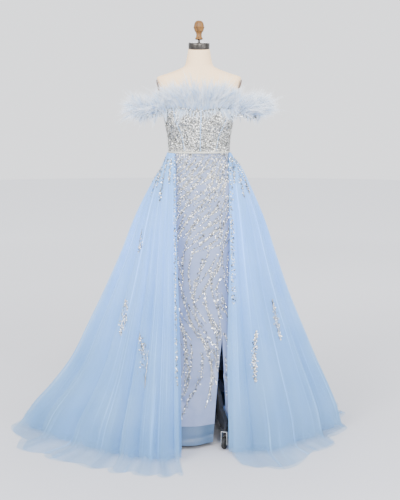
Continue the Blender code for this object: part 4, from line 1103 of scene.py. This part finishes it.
SheathPanel = namedtuple("SheathPanel", "label part start end width length area")
SHEATH_PANELS = (
    SheathPanel("front", "front", -90, "front", 0.50, 1.24, 0.46),
    SheathPanel("side_front_left", "side", "back", 90, 0.26, 1.24, 0.20),
    SheathPanel("back_left", "back", 90, 180, 0.46, 1.24, 0.42),
    SheathPanel("back_right", "back", 180, 270, 0.46, 1.24, 0.42),
)


def panel_bound(bound, height):
    if isinstance(bound, str):
        return sheath_angle(slit_edge(height, bound), height)
    return np.full(np.shape(height), math.radians(bound))


def net_lift(height):
    """The net stands a little proud of the plain hem band under it."""
    return 0.0007 * smooth_step(NET_HEM - 0.0008, NET_HEM + 0.0008, height)


def build_sheath(material):
    """The four panels, with close rows where the net ends over the satin hem."""
    falls = np.linspace(WAIST_HEIGHT - WAIST_SPLAY, SHEATH_HEM, 200)
    falls = np.sort(np.concatenate([falls, [NET_HEM - 0.0009, NET_HEM + 0.0009]]))[::-1]
    for panel in SHEATH_PANELS:
        columns = 130 if panel.part == "front" else 60
        height = np.repeat(falls[:, None], columns, axis=1)
        start, end = panel_bound(panel.start, height), panel_bound(panel.end, height)
        angle = lerp(start, end, np.linspace(0, 1, columns)[None, :])
        points = sheath_points(angle, height, panel.part, CLOTH * 0.8 + net_lift(height))
        meet_zip(points, panel.label, height[:, 0] > ZIP_BOTTOM - 0.10)
        name = f"sheath_net_{panel.label}"
        piece = cloth_sheet(name, points, material, None, f"sheath_{panel.label}")


Spray = namedtuple("Spray", "top bottom left right left_end right_end count length width")
SHEATH_SPRAYS = (  # heights strokes start at; degrees off straight down at each side and end
    Spray(1.236, 1.130, -30, -38, -40, -42, 50, 0.060, 0.0046),
    Spray(1.150, 1.050, -12, -38, -20, -46, 32, 0.085, 0.0048),
    Spray(1.060, 0.960, 0, -40, 6, -52, 23, 0.120, 0.0046),
    Spray(0.970, 0.880, -2, -42, 14, -62, 17, 0.130, 0.0040),
    Spray(0.880, 0.760, 8, -26, 30, -30, 17, 0.180, 0.0034),
    Spray(0.760, 0.620, 18, -10, 38, -2, 17, 0.210, 0.0032),
    Spray(0.640, 0.500, 26, 8, 24, 14, 19, 0.210, 0.0030),
    Spray(0.520, 0.400, 16, 0, -4, 6, 20, 0.210, 0.0029),
    Spray(0.420, 0.310, 6, 2, -14, -4, 19, 0.200, 0.0028),
    Spray(0.310, 0.220, -8, -6, -20, -10, 10, 0.120, 0.0028),
)
SPRAY_STEP = 0.0014
SPRAY_CLUMP = 0.026  # metres of stroke between two of its fuller clusters
GOLDEN_SHARE = 0.618  # spreads the strokes' starts evenly over a zone's height


def spray_strokes(sprays, chance, span):
    """Bead places along curved strokes: side (0 to 1 across the span), height and fullness."""
    sides, heights, fullness_and_painted_shade = [], [], []
    for spray in sprays:
        for index in range(spray.count):
            side = (index + 0.25 + 0.5 * chance.random()) / spray.count
            start = lerp(spray.left, spray.right, side) + chance.normal(0, 4)
            end = lerp(spray.left_end, spray.right_end, side) + chance.normal(0, 6)
            steps = int(spray.length * chance.uniform(0.6, 1.15) / SPRAY_STEP)
            share = np.arange(steps) / steps
            turn = np.radians(lerp(start, end, share))
            x = np.cumsum(np.sin(turn)) * SPRAY_STEP
            z = -np.cumsum(np.cos(turn)) * SPRAY_STEP
            rank = (index * GOLDEN_SHARE + 0.2 * chance.random()) % 1.0
            clump = 0.5 + 0.5 * np.cos(share * steps * SPRAY_STEP / SPRAY_CLUMP * math.tau + index)
            full = (0.45 + 0.85 * clump) * (1 - share**3)
            spread = chance.normal(0, 0.55, (2, steps)) * spray.width * full
            sides.append(side + (x + spread[0]) / span)
            heights.append(lerp(spray.bottom, spray.top, rank) + z + spread[1])
            fullness_and_painted_shade.append(full)
    return np.concatenate(sides), np.concatenate(heights), np.concatenate(fullness_and_painted_shade)


SprayField = namedtuple("SprayField", "part start end span seed share")
SLIT_MARGIN = 0.004
SPRAY_FIELDS = (  # degrees, metres across, and how many of the strokes
    SprayField("front", -78, 56, 0.300, 31, 1.0),
    SprayField("side", 15, 92, 0.170, 32, 0.5),
    SprayField("back", 90, 178, 0.240, 33, 0.7),
    SprayField("back", 182, 272, 0.240, 34, 0.7),
)
SCATTERED = 1000  # loose beads below the waist, for a field with all the strokes
SCATTER_TOP = 1.235
SCATTER_DEEP = 0.24
SCATTER_FULL = 0.4
SEQUINS_TO = 0.62  # kinds of bead, as shares of all
BUGLES_TO = 0.84


def field_beads(field):
    """Places, directions, normals and fullness of the beads on one part of the skirt."""
    chance = np.random.default_rng(field.seed)
    sprays = [s._replace(count=max(3, round(s.count * field.share))) for s in SHEATH_SPRAYS]
    side, height, full = spray_strokes(sprays, chance, field.span)
    extra = int(SCATTERED * field.share)
    side = np.concatenate([side, chance.random(extra)])
    height = np.concatenate([height, SCATTER_TOP - SCATTER_DEEP * chance.random(extra) ** 2])
    full = np.concatenate([full, np.full(extra, SCATTER_FULL)])
    angle = np.radians(lerp(field.start, field.end, side))
    inside = (side > 0) & (side < 1)
    inside &= (height > NET_HEM + 0.015) & (height < WAIST_HEIGHT - 0.006)
    x = sheath_points(angle, height, "back")[..., 0]
    margin = SLIT_MARGIN * (1 - smooth_step(0.50, 0.56, height))
    if field.part == "front":
        inside &= x < slit_edge(height, "front") - margin
    elif field.part == "side":
        inside &= (x > slit_edge(height, "back") + margin) & (angle < math.pi / 2)

    def surface(first, second):
        return sheath_points(first, second, field.part, CLOTH + net_lift(second))

    places, along, up, normals = surface_frame(surface, angle[inside], height[inside])
    return places, spun(up, along, chance.normal(0.0, 0.5, len(places))), normals, full[inside]


def build_sheath_beads(sequins, crystals):
    """Sprays of sequins, bugles and beads down the skirt, densest at the waist."""
    gathered = zip(*(field_beads(field) for field in SPRAY_FIELDS))
    places, along, normals, full = (np.concatenate(part) for part in gathered)
    chance = np.random.default_rng(35)
    kind = chance.random(len(places))
    for name, template, chosen, material in (
        ("sheath_sequins", SEQUIN, kind < SEQUINS_TO, sequins),
        ("sheath_bugles", BUGLE, (kind >= SEQUINS_TO) & (kind < BUGLES_TO), crystals),
        ("sheath_beads", BEAD, kind >= BUGLES_TO, crystals),
    ):
        count = int(chosen.sum())
        if template is SEQUIN:
            grown = 0.80 + 0.45 * full[chosen][:, None]
            sizes = round_sizes(chance, 0.0016, 0.0028, count) * grown
        elif template is BEAD:
            sizes = round_sizes(chance, 0.0012, 0.0020, count)
        else:
            length = chance.uniform(0.0045, 0.0065, (count, 1))
            sizes = np.hstack([length, np.full((count, 2), 0.0010)])
        lifted = places[chosen] + normals[chosen] * chance.uniform(0.0003, 0.0012, (count, 1))
        args = (lifted, along[chosen], normals[chosen], sizes, chance, material)
        piece = stamp(name, template, *args, tilt=0.30)


# Overskirt.


def overskirt_rows(layer):
    """Levels from the waist to the floor, and the run along the floor to the hem."""
    fall = np.linspace(0, 1, layer.rows) ** 1.15
    levels = 1 - fall
    runs = np.zeros(len(levels))
    if layer.on_floor:
        extra = np.linspace(0, 1, 9)[1:]
        levels = np.concatenate([levels, np.zeros(len(extra))])
        runs = np.concatenate([runs, extra])
    return levels, runs


def soften(points, start):
    """Rounds the bend where the cloth turns onto the floor."""
    for _ in range(4):
        middle = (points[start - 1 : -2] + 2 * points[start:-1] + points[start + 1 :]) / 4
        points[start:-1] = middle
    return points


def build_overskirt(layer, material, stands_for=False):
    """One layer's six gores; those of two layers stand for the part's own solids."""
    levels, runs = overskirt_rows(layer)
    for gore in GORES:
        columns = gore.folds * layer.per_fold + 1
        turn = FIRST_TURN + (gore.first_fold + np.linspace(0, gore.folds, columns)) * FOLD_TURN
        points = overskirt_points(turn[None, :], levels[:, None], runs[:, None], layer)
        if layer.on_floor:
            points = soften(points, layer.rows - 5)
            points[..., 2] = np.maximum(points[..., 2], OUTER_LIFT if layer is OUTER else INNER_LIFT)
        else:
            points[-1, :, 2] = LINING_HEM
        node = f"overskirt_{layer.label}_{gore.label}" if stands_for else None
        name = f"tulle_{layer.label}_{gore.label}"
        piece = cloth_sheet(name, points, material, None, node)


WAIST_REACH = 0.13  # how far from the pole the overskirt is at its waist
HEM_REACH = 0.62  # and at its hem
SPRIG_STEP = 0.0007  # of a sprig's length for each sequin
Sprig = namedtuple("Sprig", "turn drift top bottom width")
OVERSKIRT_SPRIGS = (  # turn in degrees, its drift on the way down, and levels
    Sprig(58, 3, 0.985, 0.90, 0.005),
    Sprig(70, 12, 0.980, 0.84, 0.007),
    Sprig(86, 10, 0.985, 0.88, 0.006),
    Sprig(104, 8, 0.950, 0.85, 0.007),
    Sprig(112, -4, 0.740, 0.66, 0.010),
    Sprig(109, -3, 0.500, 0.38, 0.012),
    Sprig(86, -6, 0.410, 0.23, 0.012),
    Sprig(128, 8, 0.980, 0.84, 0.006),
    Sprig(150, 4, 0.985, 0.82, 0.006),
    Sprig(160, -4, 0.520, 0.40, 0.006),
    Sprig(172, 4, 0.930, 0.76, 0.006),
    Sprig(194, -6, 0.985, 0.82, 0.006),
    Sprig(206, 5, 0.600, 0.47, 0.006),
    Sprig(216, 6, 0.950, 0.80, 0.006),
    Sprig(232, -6, 0.980, 0.84, 0.006),
    Sprig(242, 1, 0.750, 0.67, 0.006),
    Sprig(249, -3, 0.960, 0.83, 0.007),
    Sprig(256, 8, 0.970, 0.86, 0.007),
    Sprig(266, 7, 0.985, 0.85, 0.007),
    Sprig(279, 2, 0.985, 0.90, 0.005),
    Sprig(267, 1, 0.500, 0.36, 0.005),
    Sprig(278, 2, 0.410, 0.24, 0.004),
)
EdgeBeads = namedtuple("EdgeBeads", "turn inward count lowest")
EDGE_SPREAD = (5.0, 1.6)  # how far in from an edge its beads go, at the waist and the hem
EDGE_BEADS = (  # front edges, the way in from each, and how far down its beads go
    EdgeBeads(FIRST_TURN, 1.0, 520, 0.25),
    EdgeBeads(LAST_TURN, -0.6, 300, 0.50),
)


def sprig_strokes(chance):
    """Turns and levels of the sequins in the sprigs and along the front edges."""
    turns, levels = [], []
    for sprig in OVERSKIRT_SPRIGS:
        length = (sprig.top - sprig.bottom) * OVERSKIRT_TOP
        count = int(length / SPRIG_STEP)
        share = np.sort(chance.random(count))
        bow = np.sin(share * math.pi) * sprig.drift * 0.3
        spread = sprig.width * 1.3 * (0.3 + np.sin(share * math.pi)) * chance.normal(0, 0.5, count)
        level = lerp(sprig.top, sprig.bottom, share)
        reach = lerp(HEM_REACH, WAIST_REACH, level)
        turns.append(sprig.turn + sprig.drift * share + bow + np.degrees(spread / reach))
        levels.append(level)
    for edge in EDGE_BEADS:
        level = lerp(edge.lowest, 0.99, chance.random(edge.count))
        width = chance.random(edge.count) ** 2
        turns.append(edge.turn + edge.inward * width * lerp(*EDGE_SPREAD, 1 - level))
        levels.append(level)
    return np.concatenate(turns), np.concatenate(levels)


def build_overskirt_beads(sequins, crystals):
    """Sprigs of sequins and small beads on the outer tulle."""
    chance = np.random.default_rng(41)
    turn, level = sprig_strokes(chance)
    inside = (turn > FIRST_TURN) & (turn < LAST_TURN) & (level < 0.992) & (level > 0.02)
    turn, level = turn[inside], level[inside]

    def surface(first, second):
        return overskirt_points(first, second, 0.0, OUTER)

    places, _, up, normals = surface_frame(surface, turn, level, 0.002)
    kind = chance.random(len(places))
    for name, template, chosen, range_of_sizes, material in (
        ("overskirt_sequins", SEQUIN, kind < 0.7, (0.0019, 0.0033), sequins),
        ("overskirt_beads", BEAD, kind >= 0.7, (0.0013, 0.0021), crystals),
    ):
        sizes = round_sizes(chance, *range_of_sizes, int(chosen.sum()))
        lifted = places[chosen] + normals[chosen] * 0.0014
        args = (lifted, up[chosen], normals[chosen], sizes, chance, material)
        piece = stamp(name, template, *args, tilt=0.3)


# Plumes.

BARB_SHARES = np.array([0.0, 0.30, 0.65, 1.0])
BARB_WIDTHS = np.array([1.0, 0.85, 0.55, 0.0])
BARB_THIN = 0.00075
BARB_OPEN = (0.42, 0.12)  # how far a barb opens from its quill at the quill's root and tip
BARB_CURL = 0.35
BARE_QUILL = 0.06  # share of the quill below its first barb
WISP_SHARE = 0.05  # share of the barbs that reach past the rest, and by how much
WISP_GROWTH = 1.7


def plume_curves(roots, directions, lengths, droops, chance):
    """Points of each quill: out along its direction, then over by its droop."""
    share = np.linspace(0, 1, 9)[None, :, None]
    sway = chance.normal(0, 0.14, (len(roots), 1, 3))
    way = unit(directions)[:, None, :] + sway * share
    curve = roots[:, None, :] + way * share * lengths[:, None, None]
    curve[..., 2] -= droops[:, None] * share[..., 0] ** 2
    return curve


def barb_ribbons(curves, barbs, reach, chance, fall):
    """Fine ribbons that leave both sides of every quill and bend over towards its tip."""
    count = len(curves)
    place = (np.arange(barbs)[None, :] + chance.random((count, barbs))) / barbs
    place = BARE_QUILL + (1 - BARE_QUILL) * place
    spot = place * (curves.shape[1] - 1)
    low = np.minimum(spot.astype(int), curves.shape[1] - 2)
    part = (spot - low)[..., None]
    index = np.arange(count)[:, None]
    start, end = curves[index, low], curves[index, low + 1]
    roots = lerp(start, end, part)
    tangent = unit(end - start)
    side = unit(np.cross(tangent, chance.normal(0, 1, (count, barbs, 3))))
    open_angle = lerp(*BARB_OPEN, place) + chance.normal(0, 0.08, place.shape)
    direction = tangent * np.cos(open_angle)[..., None] + side * np.sin(open_angle)[..., None]
    profile = 0.60 + 0.40 * np.sin(place * math.pi * 0.85)
    wisps = np.where(chance.random(place.shape) < WISP_SHARE, WISP_GROWTH, 1.0)
    length = reach[:, None] * profile * chance.uniform(0.65, 1.15, place.shape) * wisps
    share = BARB_SHARES[None, None, :, None]
    along = direction[:, :, None, :] * share * length[..., None, None]
    curl = tangent[:, :, None, :] * (share**2) * (length * BARB_CURL)[..., None, None]
    points = roots[:, :, None, :] + along + curl
    points[..., 2] -= fall * length[..., None] * BARB_SHARES[None, None, :] ** 2
    flat = unit(np.cross(direction, chance.normal(0, 1, direction.shape)))
    width = BARB_THIN * chance.uniform(0.7, 1.2, place.shape)
    offset = flat[:, :, None, :] * (width[..., None] * BARB_WIDTHS)[..., None]
    return points, offset


def ribbon_mesh(points, offset, chance):
    """Joined ribbons: two points at each step but the last, where they meet."""
    count, barbs, steps, _ = points.shape
    left = (points + offset)[:, :, :-1]
    right = (points - offset)[:, :, :-1]
    tip = points[:, :, -1:]
    ribbon = np.concatenate([left, right, tip], axis=2)
    per = ribbon.shape[2]
    sides = steps - 1
    faces = []
    for step in range(sides - 1):
        faces.append((step, step + 1, sides + step + 1))
        faces.append((step, sides + step + 1, sides + step))
    faces.append((sides - 1, 2 * sides, 2 * sides - 1))
    shift = np.arange(count * barbs)[:, None, None] * per
    every = (np.array(faces)[None] + shift).reshape(-1, 3)
    along = np.concatenate([BARB_SHARES[:-1], BARB_SHARES[:-1], [1.0]])
    own = np.repeat(chance.random((count, 1, 1)), barbs, axis=1)
    uv = np.empty((count, barbs, per, 2))
    uv[..., 0] = along
    uv[..., 1] = np.clip(0.5 * own + 0.5 * chance.random((count, barbs, 1)), 0, 1)
    return ribbon.reshape(-1, 3), every.tolist(), uv.reshape(-1, 2)


PlumeRow = namedtuple("PlumeRow", "label count barbs length reach out rise sweep droop fall seed")
PLUME_ROWS = (
    PlumeRow("front", 400, 36, 0.094, 0.050, 0.26, 1.00, 0.42, 0.010, 0.14, 51),
    PlumeRow("back", 200, 34, 0.052, 0.040, 0.45, 0.80, 0.20, 0.010, 0.18, 52),
    PlumeRow("right_band", 230, 36, 0.058, 0.050, 0.55, 1.05, 0.20, 0.018, 0.34, 53),
    PlumeRow("left_band", 230, 36, 0.058, 0.050, 0.62, 1.05, 0.20, 0.012, 0.20, 54),
)
LOW_PLUMES = 0.16  # share of the quills that point down over the trim's edge
LOW_LENGTH = 0.12
TUFTS = (-0.072, 0.094)  # x where the low quills hang longest
TUFT_WIDTH = 0.014
TUFT_LENGTH = 0.42
TUFT_SHARE = 0.5
ROOT_DROP = 0.8  # roots reach this many trim heights below the neckline
ROOT_GAP = math.radians(1.2)  # between the front or back row and the bands
LOW_RISE = -0.60


def plume_roots(row, chance):
    """Where a row's quills are sewn on, and which way is out there."""
    share = (np.arange(row.count) + chance.random(row.count)) / row.count
    up = chance.random(row.count)
    if row.label.endswith("band"):
        side = -1 if "right" in row.label else 1
        height = 0.5 + (up - 0.5) * TRIM_TALL / BAND_TALL * 2.2
        points = band_points(side, share**1.2, height, CLOTH + CURVED_GAP)
        away = unit((points - np.array([side * 0.10, 0, 0])) * (1, 1, 0))
        return points, away
    bounds = (ROOT_GAP - BAND_START, BAND_START - ROOT_GAP)
    if row.label == "back":
        bounds = (BAND_END + ROOT_GAP, math.tau - BAND_END - ROOT_GAP)
    angle = lerp(*bounds, share)
    height = neckline(angle) - TRIM_TALL * ROOT_DROP * (1 - up)
    points = figure_points(angle, height, FIT_EASE + CLOTH + LAID_GAP + 0.001)
    return points, unit(points * (1, 1, 0))


def row_spread(row):
    """How far a row's quills fan up and down; those on the bands fan most."""
    return 0.60 if row.label.endswith("band") else 0.15


def end_taper(row):
    """How much shorter the quills are at the ends of the front row."""
    return 0.58 if row.label == "front" else 0.0


def build_plumes(material):
    """Four rows of quills: they rise and fan out, and a few hang over the trim's edge."""
    for row in PLUME_ROWS:
        chance = np.random.default_rng(row.seed)
        roots, away = plume_roots(row, chance)
        sideways = np.stack([-away[:, 1], away[:, 0], 0 * away[:, 0]], axis=-1)
        fan = row.sweep * np.sin(np.arctan2(roots[:, :1], -roots[:, 1:2]))
        lean = fan + 0.10 * np.sin(roots[:, :1] * 70) + chance.normal(0, 0.16, (row.count, 1))
        rise = row.rise + row_spread(row) * chance.uniform(-1.0, 1.0, (row.count, 1))
        tuft = sum(np.exp(-(((roots[:, :1] - x) / TUFT_WIDTH) ** 2)) for x in TUFTS)
        tuft = tuft * (roots[:, 1:2] < 0)
        low = chance.random((row.count, 1)) < lerp(LOW_PLUMES, TUFT_SHARE, tuft)
        direction = away * row.out + sideways * lean
        direction[:, 2:] += np.where(low, LOW_RISE, rise)
        hang = lerp(LOW_LENGTH, TUFT_LENGTH, tuft[:, 0])
        scale = chance.uniform(0.60, 1.20, row.count) * np.where(low[:, 0], hang, 1)
        scale *= 1 - end_taper(row) * (fan[:, 0] / row.sweep) ** 2
        length = row.length * scale
        droop = row.droop * chance.uniform(0.3, 1.6, row.count)
        curves = plume_curves(roots, direction, length, droop, chance)
        reach = row.reach * np.minimum(1.0, scale + 0.15)
        points, offset = barb_ribbons(curves, row.barbs, reach, chance, row.fall)
        verts, faces, uv = ribbon_mesh(points, offset, chance)
        piece = add_piece(f"plumes_{row.label}", verts, faces, material, uv)
        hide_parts(f"plume_trim_{row.label}")


# Back zip.

COIL_PITCH = 0.0016
COIL_SIZE = [0.0024, 0.0006, 0.0005]
COIL_ASIDE = 0.0010
COIL_SLANT = 0.15
SLIDER_SIZE = (0.0048, 0.0026, 0.0088)
SLIDER_WAIST = 0.72  # width of its lower half, against the upper half's
SLIDER_BEVEL = 0.0006
SLIDER_OUT = 0.0015
LUG_SIZE = (0.0015, 0.0024, 0.0030)
LUG_OUT = 0.0035


def back_depth(height, outset):
    """Depth of the back's middle line, with an outset."""
    _, _, back, _, lean = read_rows(FIGURE, np.asarray(height, dtype=float))
    return lean + back + outset


def build_zip(tape_material, metal):
    """Zip tape with its two rows of coil, and the slider near its top."""
    top = float(neckline(math.pi)) - TRIM_TALL - 2 * SEAM_GAP
    height = np.linspace(ZIP_BOTTOM, top + TRIM_TALL, 60)[:, None]
    x = np.linspace(-ZIP_HALF_WIDTH, ZIP_HALF_WIDTH, 9)[None, :]
    points = np.stack(np.broadcast_arrays(x, back_depth(height, FIT_EASE), height), axis=-1)
    tape = cloth_sheet("zip_tape", points, tape_material, ZIP_THICK * 0.7, "back_zip")
    chance = np.random.default_rng(61)
    teeth = np.arange(ZIP_BOTTOM + 0.001, top - SLIDER_DROP - 0.004, COIL_PITCH)
    for side, label in ((-1, "right"), (1, "left")):
        depth = back_depth(teeth, FIT_EASE + ZIP_THICK)
        places = np.stack([np.full_like(teeth, side * COIL_ASIDE), depth, teeth], axis=-1)
        along = np.tile([1.0, 0.0, COIL_SLANT * side], (len(teeth), 1))
        normals = np.tile([0.0, 1.0, 0.0], (len(teeth), 1))
        sizes = np.tile(COIL_SIZE, (len(teeth), 1))
        args = (places, unit(along), normals, sizes, chance, tape_material)
        coil = stamp(f"zip_coil_{label}", BUGLE, *args, tilt=0.0)
    build_slider(top - SLIDER_DROP, metal)


def build_slider(height, metal):
    """A waisted slider body with its lug. Its faces are put in one order for every run."""
    back = float(back_depth(height, FIT_EASE + ZIP_THICK))
    shape = bmesh.new()
    bmesh.ops.create_cube(shape, size=1)
    bmesh.ops.scale(shape, vec=SLIDER_SIZE, verts=shape.verts)
    for vertex in shape.verts:
        if vertex.co.z < 0:
            vertex.co.x *= SLIDER_WAIST
    bmesh.ops.bevel(shape, geom=list(shape.edges), offset=SLIDER_BEVEL, segments=3, affect="EDGES")
    bmesh.ops.translate(shape, vec=(0, back + SLIDER_OUT, height), verts=shape.verts)
    lug = bmesh.ops.create_cube(shape, size=1)["verts"]
    bmesh.ops.scale(shape, vec=LUG_SIZE, verts=lug)
    bmesh.ops.translate(shape, vec=(0, back + LUG_OUT, height), verts=lug)
    points = np.array([vertex.co[:] for vertex in shape.verts])
    shape.verts.index_update()
    faces = [[vertex.index for vertex in face.verts] for face in shape.faces]
    firsts = [face.index(min(face)) for face in faces]
    faces = sorted(face[first:] + face[:first] for face, first in zip(faces, firsts))
    shape.free()
    piece = add_piece("zip_slider", points, faces, metal, smooth=False)


# Floor, light and camera.

CAMERA_DISTANCE = 3.60
CAMERA_HEIGHT = 1.42
CAMERA_PITCH = math.radians(9.5)
FOCAL_PIXELS = 846.5
PHOTO_WIDTH = 400
PHOTO_HEIGHT = 500
POLE_PIXEL = 199.0
SENSOR = 36.0
AIM = (0.0, 0.0, 1.0)
WHITE = (1.0, 1.0, 1.0)
Light = namedtuple("Light", "name place aim size power colour")
LIGHTS = (
    Light("key_light", (-2.6, -3.4, 3.0), AIM, (2.0, 2.0), 250, (1.0, 0.98, 0.95)),
    Light("fill_light", (3.2, -2.6, 1.8), AIM, (2.4, 2.4), 90, (0.95, 0.97, 1.0)),
    Light("top_light", (0.7, -1.9, 3.1), (0.1, 0.0, 1.3), (1.4, 1.0), 60, WHITE),
    Light("front_light", (0.5, -4.2, 2.2), AIM, (0.8, 0.8), 90, WHITE),
    Light("back_light", (1.0, 3.2, 3.2), AIM, (2.5, 1.5), 70, WHITE),
)
WORLD_STRENGTH = 2.05


def build_stage(material):
    mesh = bpy.data.meshes.new("studio_floor")
    shape = bmesh.new()
    bmesh.ops.create_circle(shape, cap_ends=True, segments=96, radius=FLOOR_RADIUS)
    bmesh.ops.translate(shape, vec=(0, 0, -FLOOR_DROP), verts=shape.verts)
    shape.to_mesh(mesh)
    shape.free()
    mesh.materials.append(material)
    floor = bpy.data.objects.new("studio_floor", mesh)
    bpy.context.scene.collection.objects.link(floor)


def add_light(row):
    """An area light that looks from its place at its aim."""
    light = bpy.data.lights.new(row.name, "AREA")
    light.shape = "RECTANGLE"
    light.size, light.size_y = row.size
    light.energy = row.power
    light.color = row.colour
    lamp = bpy.data.objects.new(row.name, light)
    bpy.context.scene.collection.objects.link(lamp)
    lamp.location = row.place
    direction = np.array(row.aim) - np.array(row.place)
    flat = math.hypot(direction[0], direction[1])
    tilt = math.atan2(flat, -direction[2])
    lamp.rotation_euler = (tilt, 0, math.atan2(-direction[0], direction[1]))


def build_light():
    world = bpy.data.worlds.new("studio")
    bpy.context.scene.world = world
    world.use_nodes = True
    background = world.node_tree.nodes["Background"]
    background.inputs["Color"].default_value = FLOOR_FAR
    background.inputs["Strength"].default_value = WORLD_STRENGTH
    for row in LIGHTS:
        add_light(row)


def build_camera():
    data = bpy.data.cameras.new("photo_camera")
    data.sensor_fit = "VERTICAL"
    data.sensor_height = SENSOR
    data.sensor_width = SENSOR
    data.lens = FOCAL_PIXELS / PHOTO_HEIGHT * SENSOR
    data.shift_x = (PHOTO_WIDTH / 2 - POLE_PIXEL) / PHOTO_HEIGHT
    data.clip_start = 0.05
    camera = bpy.data.objects.new("photo_camera", data)
    bpy.context.scene.collection.objects.link(camera)
    camera.location = (ORIGIN[0], ORIGIN[1] - CAMERA_DISTANCE, CAMERA_HEIGHT)
    camera.rotation_euler = (math.pi / 2 - CAMERA_PITCH, 0, 0)
    bpy.context.scene.camera = camera


def build_all():
    sequins = sequin_material("silver_sequins", SEQUIN_TONES_WITH_PAINTED_REFLECTION)
    crystals = sequin_material("cut_beads", CUT_GLASS, (0.05, 0.25))
    steel = metal_material("cap_steel_brushed", CAP_STEEL, 0.32, 1.0)
    zinc = metal_material("zinc_plate", ZINC, 0.35, 1.0)
    iron = metal_material("black_iron", IRON, 0.55, 0.0, 260.0, 0.3)
    rubber = metal_material("tyre_rubber", RUBBER, 0.65, 0.0, 300.0, 0.2)
    coil = net_material("zip_tape_weave", ZIP_WEAVE, 0.0)
    build_torso(linen_material())
    build_form_top(wood_material("knob_beech", KNOB_BEECH, 0.55), steel)
    build_armhole_plates(wood_material("plate_walnut", PLATE_WALNUT, 0.5))
    paints = {"form_rod": steel, "stand_": iron, "caster_fork": zinc}
    paint_frame_nodes({**paints, "caster_wheel": rubber, "back_zip_pull": zinc})
    build_bodice(net_material("bodice_net", BODICE_NET_IN_PAINTED_SHADE))
    build_bodice_beads(sequins, crystals)
    build_bodice_seams(net_material("seam_net", SEAM_NET))
    build_waist_band(piping_material(), crystals)
    build_shoulder_bands(net_material("band_net", BAND_NET), sequins)
    build_sheath(sheath_material())
    build_sheath_beads(sequins, crystals)
    build_overskirt(OUTER, tulle_material("tulle_outer", OUTER_TULLE, 0.42, 0.85), stands_for=True)
    build_overskirt(LINING, tulle_material("tulle_second", SECOND_TULLE, 0.40, 0.80))
    build_overskirt(INNER, tulle_material("tulle_inner", INNER_TULLE, 0.72, 0.95), stands_for=True)
    build_overskirt_beads(sequins, crystals)
    build_plumes(plume_material())
    build_zip(coil, zinc)
    build_stage(floor_material())
    build_light()
    build_camera()


build_all()
